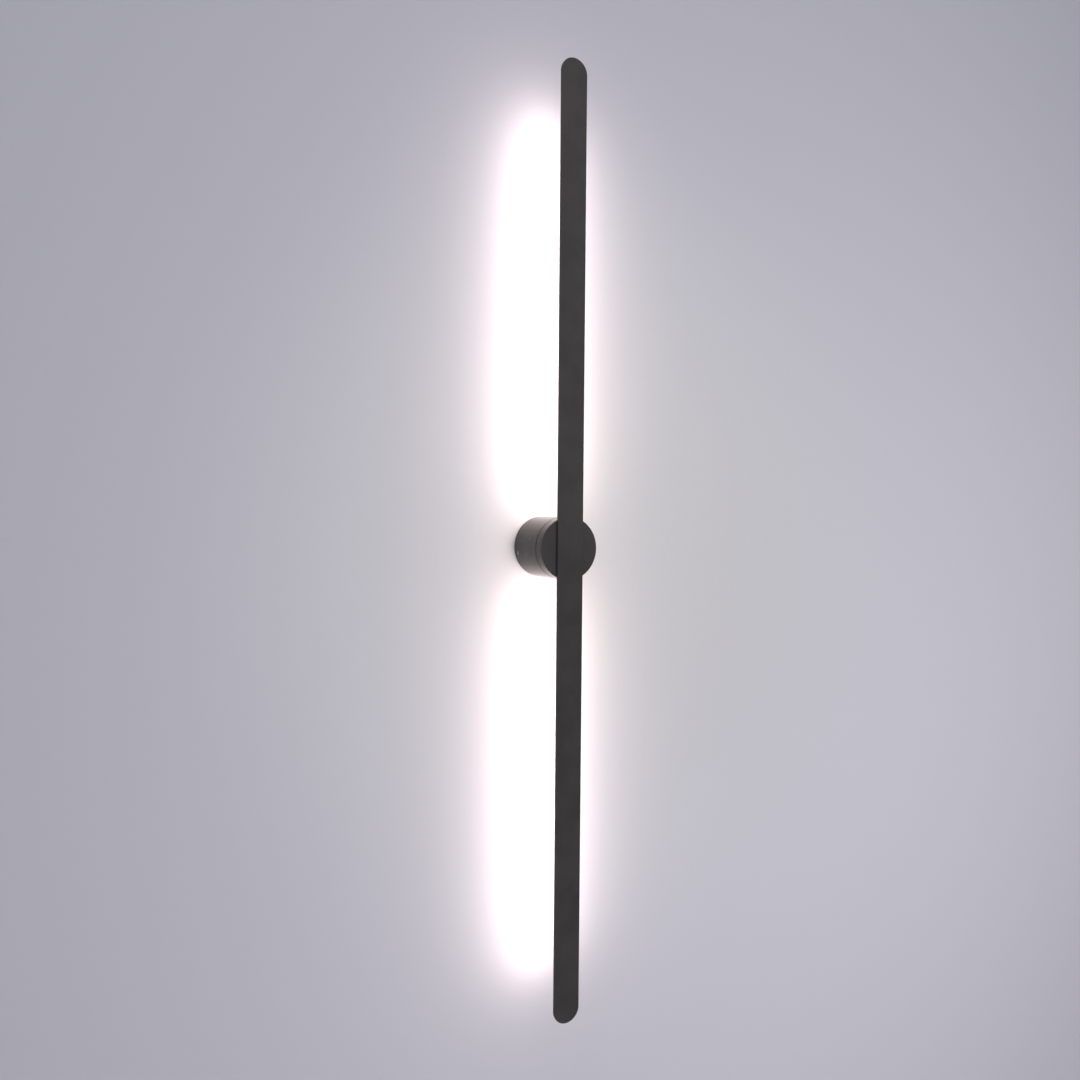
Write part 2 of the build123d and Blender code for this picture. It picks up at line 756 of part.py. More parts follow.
# Lit strips above and below the hub
leg_outer = rail_inner - ridge_reach - snap_clearance
hook_top = ridge_bottom - snap_clearance
chip_first = board_start + chip_lead_room
chip_count = int((board_end - chip_first - chip_length) // chip_pitch) + 1
lead_depth = board_top - lamp_lead_diameter / 2 - lead_lie_gap
for level, way in sides.items():
    with BuildPart() as led_board:
        with BuildSketch(across_bar(way * board_start)):
            Rectangle(board_width, board_thickness, align=(Align.CENTER, Align.MIN))
        extrude(amount=way * (board_end - board_start))
    keep(led_board.part, f"led_board_{level}")

    with BuildPart() as led_chips:
        chip_middle = chip_first + (chip_count - 1) * chip_pitch / 2
        with BuildSketch(facing_wall(board_top)):
            with Locations((0, way * chip_middle)):
                with GridLocations(chip_width, chip_pitch, 1, chip_count):
                    Rectangle(chip_width, chip_length)
        extrude(amount=chip_height)
    keep(led_chips.part, f"led_chips_{level}")

    with BuildPart() as diffuser:
        with BuildSketch(across_bar(way * diffuser_start)):
            with BuildLine():
                Polyline(
                    (0, rail_depth),
                    (rail_inner - snap_clearance, rail_depth),
                    (rail_inner - snap_clearance, ridge_top),
                    (leg_outer, ridge_top),
                    (leg_outer, hook_top),
                    (rail_inner - snap_clearance, hook_top),
                    (leg_outer, hook_top - hook_height),
                    (leg_outer - diffuser_leg, hook_top - hook_height),
                    (leg_outer - diffuser_leg, ridge_top),
                    (0, ridge_top),
                )
                mirror(about=Plane.YZ)
            make_face()
        extrude(amount=way * (diffuser_end - diffuser_start))
    keep(diffuser.part, f"diffuser_{level}")

    with BuildPart() as end_cap:
        with BuildSketch(across_bar(way * diffuser_end)):
            Rectangle(2 * leg_outer, rail_depth, align=(Align.CENTER, Align.MIN))
        extrude(amount=way * cap_plug)
        with BuildSketch(across_bar(way * rail_half)):
            Rectangle(rail_span, rail_depth, align=(Align.CENTER, Align.MIN))
        extrude(amount=way * cap_cover)
        outer_edges = end_cap.edges().group_by(Axis.Z)[-1 if way > 0 else 0]
        fillet(outer_edges.sort_by(Axis.Y)[-1], cap_cover / 2)
    keep(end_cap.part, f"end_cap_{level}")

    lead_z = way * lamp_lead_split / 2
    lamp_routes = [
        [
            at(x, head_back + lead_joint_gap, lead_z),
            at(x, lead_depth, lead_z),
            at(x, lead_depth, way * (board_start + lead_solder_length)),
        ]
        for x in (lamp_lead_spacing / 2, -lamp_lead_spacing / 2)
    ]
    keep(lead_set(lamp_routes, lamp_lead_diameter, lamp_bend), f"lamp_leads_{level}")
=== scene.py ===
import json
import logging
import math
from abc import ABC, abstractmethod
from dataclasses import dataclass
from enum import Enum
from typing import Iterable, Sequence

import bmesh
import bpy
from mathutils import Matrix, Vector


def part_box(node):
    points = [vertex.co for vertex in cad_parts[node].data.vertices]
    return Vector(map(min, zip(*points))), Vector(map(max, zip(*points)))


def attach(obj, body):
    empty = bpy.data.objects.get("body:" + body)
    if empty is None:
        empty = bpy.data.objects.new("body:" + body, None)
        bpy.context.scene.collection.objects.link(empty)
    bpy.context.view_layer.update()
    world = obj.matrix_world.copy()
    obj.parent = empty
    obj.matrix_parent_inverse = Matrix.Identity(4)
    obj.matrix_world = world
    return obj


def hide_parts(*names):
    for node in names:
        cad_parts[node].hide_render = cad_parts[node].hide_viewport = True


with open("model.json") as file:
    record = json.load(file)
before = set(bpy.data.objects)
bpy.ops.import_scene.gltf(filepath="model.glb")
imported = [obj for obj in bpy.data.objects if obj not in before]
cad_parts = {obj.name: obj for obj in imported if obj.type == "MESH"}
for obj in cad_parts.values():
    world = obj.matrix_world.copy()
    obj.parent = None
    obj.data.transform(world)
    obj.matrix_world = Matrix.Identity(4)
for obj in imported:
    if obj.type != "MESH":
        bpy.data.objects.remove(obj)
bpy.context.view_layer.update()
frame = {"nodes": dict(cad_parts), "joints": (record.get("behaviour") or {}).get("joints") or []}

# Wall sconce: a slim upright light bar on a round hub, lit towards the wall.
# Metres, in the part's own frame: +X right, +Z up, the wall is Y = 0 and the room is towards -Y.
# A depth is a distance from the wall.

MM = 0.001
log = logging.getLogger("wall_sconce")

Point = tuple[float, float]
Corner = tuple[float, float, float]
Colour = tuple[float, float, float]
Seat = tuple[Vector, Vector]
Stop = tuple[float, Colour]
Layer = tuple["Pattern", float]
Piece = bpy.types.Object
Socket = bpy.types.NodeSocket


class Body(Enum):
    """The two bodies of the light: the part on the wall and the part that turns."""

    BASE = "base"
    HEAD = "head"


class Level(Enum):
    """The stretch of the bar above the hub and the one below it."""

    UPPER = "upper"
    LOWER = "lower"


class Facing(Enum):
    """Directions of what faces the wall, the room or the ceiling."""

    WALL = (0, 1, 0)
    ROOM = (0, -1, 0)
    CEILING = (0, 0, 1)


class Operation(Enum):
    """What a shape does to the piece that it works on."""

    CUT = "DIFFERENCE"
    JOIN = "UNION"


class HeadForm(Enum):
    """Shapes of screw heads."""

    PAN = "pan"
    CAP = "cap"
    FLAT = "flat"
    NONE = "none"


class Drive(Enum):
    """What a screwdriver or key turns in the head."""

    SOCKET = "socket"
    CROSS = "cross"
    SLOT = "slot"


class Wave(Enum):
    """Waves in a finish: rings round the hub's axis, or bands across it."""

    RINGS = "RINGS"
    BANDS = "BANDS"


# Shapes

SLIVER = 0.001 * MM
WELD = 0.002 * MM
FLAT_ANGLE = math.radians(0.5)


def even(start: float, end: float, steps: int) -> list[float]:
    """Values in even steps from a start to an end, both among them."""
    return [start + (end - start) * step / steps for step in range(steps + 1)]


def spread(start: float, end: float, count: int) -> list[float]:
    """A count of values spread evenly from a start to an end, or their middle for one."""
    return [(start + end) / 2] if count == 1 else even(start, end, count - 1)


def spokes(steps: int) -> list[float]:
    """Angles in even steps round a full turn."""
    return even(0, math.tau, steps)[:-1]


def polar(radius: float, angle: float, x: float = 0.0, y: float = 0.0) -> Point:
    """The point at a radius and an angle from a centre."""
    return x + radius * math.cos(angle), y + radius * math.sin(angle)


def linked(name: str, data: bpy.types.ID) -> Piece:
    """Make an object of a mesh, a light or a camera, and put it in the scene.

    Args:
        name: The object's name.
        data: What it shows.

    Returns:
        The object.
    """
    piece = bpy.data.objects.new(name, data)
    bpy.context.scene.collection.objects.link(piece)
    return piece


def poured(name: str, form: bmesh.types.BMesh) -> Piece:
    """Make a piece of an open form, and close the form.

    Args:
        name: The piece's name.
        form: The form.

    Returns:
        The piece.
    """
    mesh = bpy.data.meshes.new(name)
    form.to_mesh(mesh)
    form.free()
    return linked(name, mesh)


def link_mesh(name: str, points: Sequence[Vector], faces: Sequence[Sequence[int]]) -> Piece:
    """Make a piece from points and faces, with its faces turned outwards.

    Args:
        name: The piece's name.
        points: Corners in the part's frame.
        faces: Rows of corner numbers.

    Returns:
        The new piece.
    """
    mesh = bpy.data.meshes.new(name)
    mesh.from_pydata([tuple(p) for p in points], [], faces)
    form = bmesh.new()
    form.from_mesh(mesh)
    bmesh.ops.recalc_face_normals(form, faces=form.faces)
    form.to_mesh(mesh)
    form.free()
    return linked(name, mesh)


def skinned(name: str, loops: Sequence[Sequence[Vector]], ring: bool = False) -> Piece:
    """Skin a row of loops that have the same count of points.

    Args:
        name: The piece's name.
        loops: The loops, in order.
        ring: Whether the last loop joins the first; otherwise both ends are closed by flat faces.

    Returns:
        The closed piece.
    """
    count = len(loops[0])
    rows = len(loops)
    faces: list[tuple[int, ...]] = []
    for row in range(rows if ring else rows - 1):
        here = row * count
        there = (row + 1) % rows * count
        for step in range(count):
            after = (step + 1) % count
            faces.append((here + step, here + after, there + after, there + step))
    if not ring:
        faces.append(tuple(range(count)))
        faces.append(tuple(range((rows - 1) * count, rows * count)))
    return link_mesh(name, [p for loop in loops for p in loop], faces)


def rounded(corners: Sequence[Corner], steps: int = 5) -> list[Point]:
    """Trace a closed outline whose corners are rounded by arcs.

    Args:
        corners: Rows of x, y and the radius of that corner, 0 for a sharp one.
        steps: Straight steps in an arc.

    Returns:
        The outline's points.
    """
    outline: list[Point] = []
    for number, (x, y, radius) in enumerate(corners):
        here = Vector((x, y))
        if radius == 0:
            outline.append((x, y))
            continue
        before = (Vector(corners[number - 1][:2]) - here).normalized()
        after = (Vector(corners[(number + 1) % len(corners)][:2]) - here).normalized()
        half = before.angle(after) / 2
        centre = here + (before + after).normalized() * radius / math.sin(half)
        start = here + before * radius / math.tan(half) - centre
        turn = start.angle_signed(here + after * radius / math.tan(half) - centre)
        for step in range(steps + 1):
            spoke = start.copy()
            spoke.rotate(Matrix.Rotation(-turn * step / steps, 2))
            outline.append(tuple(centre + spoke))
    return outline


def standing(origin: Vector, direction: Vector) -> Matrix:
    """Frame of a turned piece: its axis leaves the origin along a direction."""
    return Matrix.Translation(origin) @ direction.to_track_quat("Z", "Y").to_matrix().to_4x4()


# Frames of shapes: round the hub's axis, with Z into the room; parallel to the wall, with X right,
# Y up and Z the depth; and across the bar, with X right, Y the depth and Z up.
HUB_AXIS = standing(Vector((0, 0, 0)), Vector(Facing.ROOM.value))
WALL_SIDE = Matrix(((1, 0, 0, 0), (0, 0, -1, 0), (0, 1, 0, 0), (0, 0, 0, 1)))
ACROSS_BAR = Matrix(((1, 0, 0, 0), (0, -1, 0, 0), (0, 0, 1, 0), (0, 0, 0, 1)))


def turned(
    name: str,
    profile: Sequence[Point],
    steps: int,
    place: Matrix = HUB_AXIS,
    ring: bool = False,
) -> Piece:
    """Turn a profile round an axis, as on a lathe.

    Args:
        name: The piece's name.
        profile: Points of radius and height along the axis.
        steps: Facets round the axis.
        place: Frame whose Z is the axis.
        ring: Whether the profile is closed, as round a bore; otherwise its ends are closed by discs.

    Returns:
        The turned piece.
    """
    loops = [
        [place @ Vector((*polar(radius, angle), height)) for angle in spokes(steps)]
        for radius, height in profile
    ]
    return skinned(name, loops, ring)


def drawn(name: str, outline: Sequence[Point], start: float, end: float, place: Matrix) -> Piece:
    """Draw an outline straight along its frame's Z, as an extrusion.

    Args:
        name: The piece's name.
        outline: Points across the frame's X and Y.
        start: Where it begins along Z.
        end: Where it ends along Z.
        place: The outline's frame.

    Returns:
        The prism.
    """
    return skinned(name, [[place @ Vector((x, y, z)) for x, y in outline] for z in (start, end)])


def rectangle(x: float, y: float, width: float, height: float) -> list[Point]:
    """Corners of a rectangle round a centre."""
    return [(x + sx * width / 2, y + sy * height / 2) for sx, sy in ((-1, -1), (1, -1), (1, 1), (-1, 1))]


def circle(x: float, y: float, radius: float, steps: int = 48) -> list[Point]:
    """Points of a circle round a centre."""
    return [polar(radius, angle, x, y) for angle in spokes(steps)]


def clean(mesh: bpy.types.Mesh) -> None:
    """Take out the slivers that a cut can leave.

    Args:
        mesh: The mesh, which is changed.
    """
    form = bmesh.new()
    form.from_mesh(mesh)
    bmesh.ops.dissolve_degenerate(form, dist=SLIVER, edges=form.edges)
    form.to_mesh(mesh)
    form.free()


def settle(piece: Piece) -> None:
    """Make a piece's modifiers part of its mesh.

    Args:
        piece: The piece, which gets a new mesh.
    """
    bpy.context.view_layer.update()
    shaped = piece.evaluated_get(bpy.context.evaluated_depsgraph_get())
    mesh = bpy.data.meshes.new_from_object(shaped)
    plain = piece.data
    piece.modifiers.clear()
    piece.data = mesh
    bpy.data.meshes.remove(plain)


def work(piece: Piece, tools: Iterable[Piece], operation: Operation = Operation.CUT) -> None:
    """Cut or join shapes into a piece, then clear the shapes away.

    Args:
        piece: The piece that is worked on.
        tools: Closed shapes, used one after the other.
        operation: What they do to the piece.
    """
    shapes = list(tools)
    for shape in shapes:
        step = piece.modifiers.new(shape.name, "BOOLEAN")
        step.object = shape
        step.operation = operation.value
        step.solver = "EXACT"
    settle(piece)
    clean(piece.data)
    for shape in shapes:
        bpy.data.objects.remove(shape)


def ease(piece: Piece, width: float, segments: int = 2, least_angle: float = 32.0) -> None:
    """Round a piece's hard edges a little, as a tumbled or moulded edge.

    Args:
        piece: The piece.
        width: How far the rounding reaches from an edge.
        segments: Facets across the rounding.
        least_angle: Edges flatter than this, in degrees, stay.
    """
    bevel = piece.modifiers.new("eased", "BEVEL")
    bevel.width = width
    bevel.segments = segments
    bevel.limit_method = "ANGLE"
    bevel.angle_limit = math.radians(least_angle)
    settle(piece)
    clean(piece.data)


def smooth(piece: Piece, sharp_angle: float = 28.0) -> None:
    """Shade a piece's curved faces smoothly, and keep its edges crisp and its flat faces flat.

    Args:
        piece: The piece.
        sharp_angle: Edges steeper than this, in degrees, stay crisp.
    """
    mesh = piece.data
    mesh.polygons.foreach_set("use_smooth", [True] * len(mesh.polygons))
    mesh.set_sharp_from_angle(angle=math.radians(sharp_angle))
    weighted = piece.modifiers.new("even", "WEIGHTED_NORMAL")
    weighted.keep_sharp = True
    settle(piece)


def joined(name: str, pieces: Sequence[Piece]) -> Piece:
    """Gather several meshes into one piece.

    Args:
        name: The new piece's name.
        pieces: The meshes, which are cleared away.

    Returns:
        The gathered piece.
    """
    form = bmesh.new()
    for piece in pieces:
        form.from_mesh(piece.data)
    for piece in pieces:
        bpy.data.objects.remove(piece)
    return poured(name, form)


def node_copy(node: str, name: str) -> Piece:
    """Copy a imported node's shape, with its flat faces in one piece each.

    Args:
        node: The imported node.
        name: The copy's name.

    Returns:
        The copy, ready to be eased.
    """
    form = bmesh.new()
    form.from_mesh(frame["nodes"][node].data)
    bmesh.ops.remove_doubles(form, verts=form.verts, dist=WELD)
    bmesh.ops.dissolve_limit(
        form, angle_limit=FLAT_ANGLE, verts=form.verts, edges=form.edges, use_dissolve_boundaries=False
    )
    return poured(name, form)


# Finishes


def tinted(colour: Colour, factor: float) -> Colour:
    """A colour made lighter or darker."""
    return tuple(min(1.0, c * factor) for c in colour)


@dataclass(frozen=True)
class Tones:
    """Two tones of a colour: the value that each belongs to, and how light it is."""

    low: float
    low_factor: float
    high: float
    high_factor: float

    def of(self, colour: Colour) -> list[Stop]:
        """The tones of a colour, by value."""
        rows = ((self.low, self.low_factor), (self.high, self.high_factor))
        return [(value, tinted(colour, factor)) for value, factor in rows]


class Pattern(ABC):
    """What varies over a surface, as a value from 0 to 1."""

    @abstractmethod
    def lay(self, sheet: "Sheet") -> Socket:
        """Lay the pattern on a material's sheet."""


class Sheet:
    """A material's node sheet, with one shader on it."""

    def __init__(self, name: str, **values: object) -> None:
        """Start a material and set the shader's own values.

        Args:
            name: The material's name.
            values: Socket names, with _ for a space, and what they are set to.
        """
        self.material = bpy.data.materials.new(name)
        self.material.use_nodes = True
        self.tree = self.material.node_tree
        self.shader = self.tree.nodes["Principled BSDF"]
        self.output = self.tree.nodes["Material Output"]
        for socket, value in values.items():
            self.shader.inputs[socket.replace("_", " ")].default_value = value
        self.place = self.tree.nodes.new("ShaderNodeTexCoord").outputs["Object"]
        self.laid: dict[Pattern, Socket] = {}

    def add(self, kind: str, **values: object) -> bpy.types.Node:
        """Add a node and set its properties.

        Args:
            kind: The node's type.
            values: Properties and what they are set to.

        Returns:
            The node.
        """
        node = self.tree.nodes.new(kind)
        for key, value in values.items():
            setattr(node, key, value)
        return node

    def join(self, source: Socket, target: Socket) -> None:
        """Link an output to an input."""
        self.tree.links.new(source, target)

    def value(self, pattern: Pattern) -> Socket:
        """Take a pattern's value; each pattern is laid once.

        Args:
            pattern: The pattern.

        Returns:
            Its value.
        """
        if pattern not in self.laid:
            self.laid[pattern] = pattern.lay(self)
        return self.laid[pattern]

    def span(self, pattern: Pattern, low: float, high: float) -> Socket:
        """Spread a pattern over a range.

        Args:
            pattern: The pattern.
            low: The range's low end.
            high: The range's high end.

        Returns:
            The spread value.
        """
        node = self.add("ShaderNodeMapRange")
        node.inputs["To Min"].default_value = low
        node.inputs["To Max"].default_value = high
        self.join(self.value(pattern), node.inputs["Value"])
        return node.outputs["Result"]

    def shades(self, pattern: Pattern, stops: Sequence[Stop]) -> Socket:
        """Colour a pattern.

        Args:
            pattern: The pattern.
            stops: Values from 0 to 1 and their colours.

        Returns:
            The colour.
        """
        ramp = self.add("ShaderNodeValToRGB")
        elements = ramp.color_ramp.elements
        for number, (position, colour) in enumerate(stops):
            element = elements[number] if number < len(elements) else elements.new(position)
            element.position = position
            element.color = (*colour, 1)
        self.join(self.value(pattern), ramp.inputs["Fac"])
        return ramp.outputs["Color"]

    def blended(self, share: Socket, first: Socket, second: Socket) -> Socket:
        """Mix two colours by a share.

        Args:
            share: The second colour's share.
            first: The first colour.
            second: The second colour.

        Returns:
            The mixed colour.
        """
        mix = self.add("ShaderNodeMix", data_type="RGBA")
        self.join(share, mix.inputs["Factor"])
        self.join(first, mix.inputs["A"])
        self.join(second, mix.inputs["B"])
        return mix.outputs["Result"]

    def relief(self, layers: Sequence[Layer]) -> None:
        """Lay the heights of patterns over each other on the surface.

        Args:
            layers: Patterns and how deep each is, in metres.
        """
        normal: Socket | None = None
        for pattern, depth in layers:
            bump = self.add("ShaderNodeBump")
            bump.inputs["Strength"].default_value = 1.0
            bump.inputs["Distance"].default_value = depth
            self.join(self.value(pattern), bump.inputs["Height"])
            if normal is not None:
                self.join(normal, bump.inputs["Normal"])
            normal = bump.outputs["Normal"]
        self.join(normal, self.shader.inputs["Normal"])

    def set(self, socket: str, source: Socket) -> None:
        """Give the shader one of its values."""
        self.join(source, self.shader.inputs[socket])


@dataclass(frozen=True)
class Grain(Pattern):
    """Cloudy grain: clouds to a metre, finer layers in them, and their scale in X, Y and Z."""

    scale: float
    detail: float = 3.0
    stretch: Corner = (1.0, 1.0, 1.0)

    def lay(self, sheet: Sheet) -> Socket:
        """Lay the grain.

        Args:
            sheet: The material's sheet.

        Returns:
            Its value.
        """
        mapping = sheet.add("ShaderNodeMapping")
        mapping.inputs["Scale"].default_value = self.stretch
        sheet.join(sheet.place, mapping.inputs["Vector"])
        noise = sheet.add("ShaderNodeTexNoise")
        noise.inputs["Scale"].default_value = self.scale
        noise.inputs["Detail"].default_value = self.detail
        sheet.join(mapping.outputs["Vector"], noise.inputs["Vector"])
        return noise.outputs["Fac"]


@dataclass(frozen=True)
class Cells(Pattern):
    """Cells like crystals or pores, to a metre, as the distance from their middles or their edges."""

    scale: float
    edges: bool = False

    def lay(self, sheet: Sheet) -> Socket:
        """Lay the cells.

        Args:
            sheet: The material's sheet.

        Returns:
            The distance.
        """
        voronoi = sheet.add("ShaderNodeTexVoronoi", feature="DISTANCE_TO_EDGE" if self.edges else "F1")
        voronoi.inputs["Scale"].default_value = self.scale
        sheet.join(sheet.place, voronoi.inputs["Vector"])
        return voronoi.outputs["Distance"]


@dataclass(frozen=True)
class Waves(Pattern):
    """Rings, as a lathe tool leaves them, or bands, as layers show them: how close and how uneven."""

    form: Wave
    scale: float
    wobble: float
    axis: str = "Y"

    def lay(self, sheet: Sheet) -> Socket:
        """Lay the waves.

        Args:
            sheet: The material's sheet.

        Returns:
            Their value.
        """
        wave = sheet.add("ShaderNodeTexWave", wave_type=self.form.value)
        wave.rings_direction = self.axis
        wave.bands_direction = self.axis
        wave.inputs["Scale"].default_value = self.scale
        wave.inputs["Distortion"].default_value = self.wobble
        sheet.join(sheet.place, wave.inputs["Vector"])
        return wave.outputs["Fac"]


@dataclass(frozen=True)
class Distance(Pattern):
    """Distance from a place, as a soft share of a reach."""

    middle: Corner
    reach: float

    def lay(self, sheet: Sheet) -> Socket:
        """Measure the distance.

        Args:
            sheet: The material's sheet.

        Returns:
            The share.
        """
        length = sheet.add("ShaderNodeVectorMath", operation="DISTANCE")
        length.inputs[1].default_value = self.middle
        sheet.join(sheet.place, length.inputs[0])
        share = sheet.add("ShaderNodeMapRange", interpolation_type="SMOOTHSTEP")
        share.inputs["From Max"].default_value = self.reach
        sheet.join(length.outputs["Value"], share.inputs["Value"])
        return share.outputs["Result"]


@dataclass(frozen=True, kw_only=True)
class Finish(ABC):
    """A surface finish by patterns for its colour, shine and relief; its slot is the record's."""

    slot: str
    colour_by: Pattern
    shine: Point
    shine_by: Pattern
    layers: tuple[Layer, ...]
    specular: float = 0.5
    metallic: float = 0.0

    @abstractmethod
    def stops(self) -> list[Stop]:
        """The finish's colours, by the value of the pattern for its colour."""

    def settings(self) -> dict[str, object]:
        """The shader's own values."""
        return {"Specular_IOR_Level": self.specular, "Metallic": self.metallic}

    def painted(self, sheet: Sheet) -> Socket:
        """The finish's colour on its sheet."""
        return sheet.shades(self.colour_by, self.stops())

    def mixed(self) -> Sheet:
        """Mix the finish.

        Returns:
            Its sheet.
        """
        sheet = Sheet(self.slot + "_finish", **self.settings())
        sheet.set("Base Color", self.painted(sheet))
        sheet.set("Roughness", sheet.span(self.shine_by, *self.shine))
        sheet.relief(self.layers)
        return sheet

    def material(self) -> bpy.types.Material:
        """The finish's material, made once."""
        return bpy.data.materials.get(self.slot + "_finish") or self.mixed().material


@dataclass(frozen=True, kw_only=True)
class TwoTone(Finish):
    """A finish in two tones of one colour."""

    colour: Colour
    tones: Tones

    def stops(self) -> list[Stop]:
        """The two tones."""
        return self.tones.of(self.colour)


COAT_SPECKS = Grain(4200.0, 2.0)
ORANGE_PEEL = Grain(620.0, 1.0)
SINK_MARKS = Grain(180.0, 1.0)
ROLLING_LINES = Grain(260.0, 2.0, (0.08, 1.0, 1.0))
LATHE_RINGS = Waves(Wave.RINGS, 900.0, 0.3)
RUBBER_BLOOM = Grain(150.0, 5.0)
TAPE_LAYERS = Waves(Wave.BANDS, 320.0, 0.6)
DIE_LINES = Grain(1500.0, 2.0, (1.0, 0.1, 0.1))
INSULATION_CLOUD = Grain(220.0)
FROST = Grain(2400.0, 2.0)
PHOSPHOR_GRAINS = Cells(5200.0)
PAINT_ROLLER = Grain(160.0)


def moulded(spark: float) -> tuple[Layer, ...]:
    """Relief of moulded plastic: the tool's spark texture and faint sink marks."""
    return (Cells(spark), 0.008 * MM), (SINK_MARKS, 0.006 * MM)


def tracked(tracks: Cells) -> tuple[Layer, ...]:
    """Relief of a circuit board: its tracks and the solder mask's grain."""
    return (tracks, 0.02 * MM), (Grain(3000.0), 0.003 * MM)


@dataclass(frozen=True, kw_only=True)
class PowderCoat(TwoTone):
    """Satin powder coat: a low orange peel, fine specks and a faint mottle."""

    colour: Colour = (0.033, 0.029, 0.0286)
    tones: Tones = Tones(0.35, 0.82, 0.65, 1.2)
    colour_by: Pattern = Grain(34.0, 4.0)
    speck_tones: Tones = Tones(0.45, 1.0, 0.75, 2.1)
    speck_share: Point = (0.1, 0.5)
    shine: Point = (0.1, 0.15)
    shine_by: Pattern = Grain(110.0)
    layers: tuple[Layer, ...] = ((ORANGE_PEEL, 0.004 * MM), (COAT_SPECKS, 0.001 * MM))
    specular: float = 0.28

    def painted(self, sheet: Sheet) -> Socket:
        """Strew specks over the mottle.

        Args:
            sheet: The finish's sheet.

        Returns:
            The colour.
        """
        mottle = super().painted(sheet)
        specks = sheet.shades(COAT_SPECKS, self.speck_tones.of(self.colour))
        return sheet.blended(sheet.span(COAT_SPECKS, *self.speck_share), mottle, specks)


@dataclass(frozen=True, kw_only=True)
class MouldedPlastic(TwoTone):
    """Moulded plastic with the fine spark texture of its tool."""

    colour: Colour = (0.02, 0.02, 0.021)
    tones: Tones = Tones(0.3, 0.85, 0.7, 1.12)
    colour_by: Pattern = Grain(70.0, 2.0)
    shine: Point = (0.45, 0.6)
    shine_by: Pattern = Grain(300.0)
    layers: tuple[Layer, ...] = moulded(2600.0)


@dataclass(frozen=True, kw_only=True)
class PlatedSteel(Finish):
    """Pressed and plated steel: a faint spangle, a passivated tint and rolling lines."""

    bright: Stop = (0.3, (0.56, 0.57, 0.6))
    dull: Stop = (0.55, (0.4816, 0.4902, 0.516))
    passivated: Stop = (0.75, (0.6, 0.58, 0.5))
    colour_by: Pattern = Grain(60.0)
    shine: Point = (0.28, 0.42)
    shine_by: Pattern = Cells(420.0)
    layers: tuple[Layer, ...] = ((ROLLING_LINES, 0.005 * MM), (Cells(900.0), 0.002 * MM))
    metallic: float = 1.0

    def stops(self) -> list[Stop]:
        """The plating's three shades."""
        return [self.bright, self.dull, self.passivated]


@dataclass(frozen=True, kw_only=True)
class TurnedMetal(TwoTone):
    """Lathe-turned metal with fine rings round the hub's axis."""

    tones: Tones = Tones(0.35, 0.85, 0.7, 1.1)
    colour_by: Pattern = Grain(240.0)
    shine: Point = (0.22, 0.36)
    shine_by: Pattern = LATHE_RINGS
    layers: tuple[Layer, ...] = ((LATHE_RINGS, 0.003 * MM), (Grain(1800.0), 0.002 * MM))
    metallic: float = 1.0


@dataclass(frozen=True, kw_only=True)
class Rubber(TwoTone):
    """Soft rubber: dull, with a dusty bloom and fine pits."""

    colour: Colour = (0.022, 0.022, 0.023)
    tones: Tones = Tones(0.4, 1.0, 0.8, 2.4)
    colour_by: Pattern = RUBBER_BLOOM
    shine: Point = (0.68, 0.85)
    shine_by: Pattern = RUBBER_BLOOM
    layers: tuple[Layer, ...] = ((Cells(2200.0), 0.01 * MM),)
    specular: float = 0.3


@dataclass(frozen=True, kw_only=True)
class CircuitBoard(Finish):
    """Solder mask over copper tracks, which stand a little proud."""

    track: Colour
    mask: Colour
    track_edge: Point = (0.06, 0.09)
    shine: Point = (0.25, 0.4)
    shine_by: Pattern = Grain(500.0)

    def stops(self) -> list[Stop]:
        """The track's colour and the mask's."""
        return list(zip(self.track_edge, (self.track, self.mask)))


@dataclass(frozen=True, kw_only=True)
class WoundTape(TwoTone):
    """Layers of winding tape whose edges show as bands."""

    colour: Colour = (0.62, 0.44, 0.08)
    tones: Tones = Tones(0.3, 0.7, 0.7, 1.0)
    colour_by: Pattern = TAPE_LAYERS
    shine: Point = (0.25, 0.45)
    shine_by: Pattern = Grain(260.0)
    layers: tuple[Layer, ...] = ((TAPE_LAYERS, 0.03 * MM), (Grain(700.0), 0.01 * MM))


@dataclass(frozen=True, kw_only=True)
class SoftPlastic(TwoTone):
    """Extruded insulation or sleeve, with faint die lines and a soft gloss."""

    tones: Tones = Tones(0.3, 0.84, 0.7, 1.12)
    colour_by: Pattern = INSULATION_CLOUD
    shine: Point = (0.35, 0.5)
    shine_by: Pattern = INSULATION_CLOUD
    layers: tuple[Layer, ...] = ((DIE_LINES, 0.01 * MM),)
    specular: float = 0.45


@dataclass(frozen=True, kw_only=True)
class OpalAcrylic(TwoTone):
    """Lit opal acrylic: an even glow from a frosted face."""

    colour: Colour = (0.86, 0.85, 0.83)
    tones: Tones = Tones(0.3, 0.96, 0.7, 1.0)
    colour_by: Pattern = Grain(90.0, 2.0)
    shine: Point = (0.42, 0.55)
    shine_by: Pattern = Grain(400.0)
    layers: tuple[Layer, ...] = ((FROST, 0.006 * MM),)
    glow: Colour = (1.0, 0.95, 0.92)
    strength: float = 1.0

    def settings(self) -> dict[str, object]:
        """The shader's own values, with the glow."""
        glow = {"Emission_Color": (*self.glow, 1), "Emission_Strength": self.strength}
        return super().settings() | glow


@dataclass(frozen=True, kw_only=True)
class Phosphor(TwoTone):
    """Phosphor gel of an LED: grainy yellow."""

    colour: Colour = (0.82, 0.62, 0.12)
    tones: Tones = Tones(0.2, 0.86, 0.6, 1.06)
    colour_by: Pattern = PHOSPHOR_GRAINS
    shine: Point = (0.3, 0.5)
    shine_by: Pattern = PHOSPHOR_GRAINS
    layers: tuple[Layer, ...] = ((PHOSPHOR_GRAINS, 0.01 * MM),)


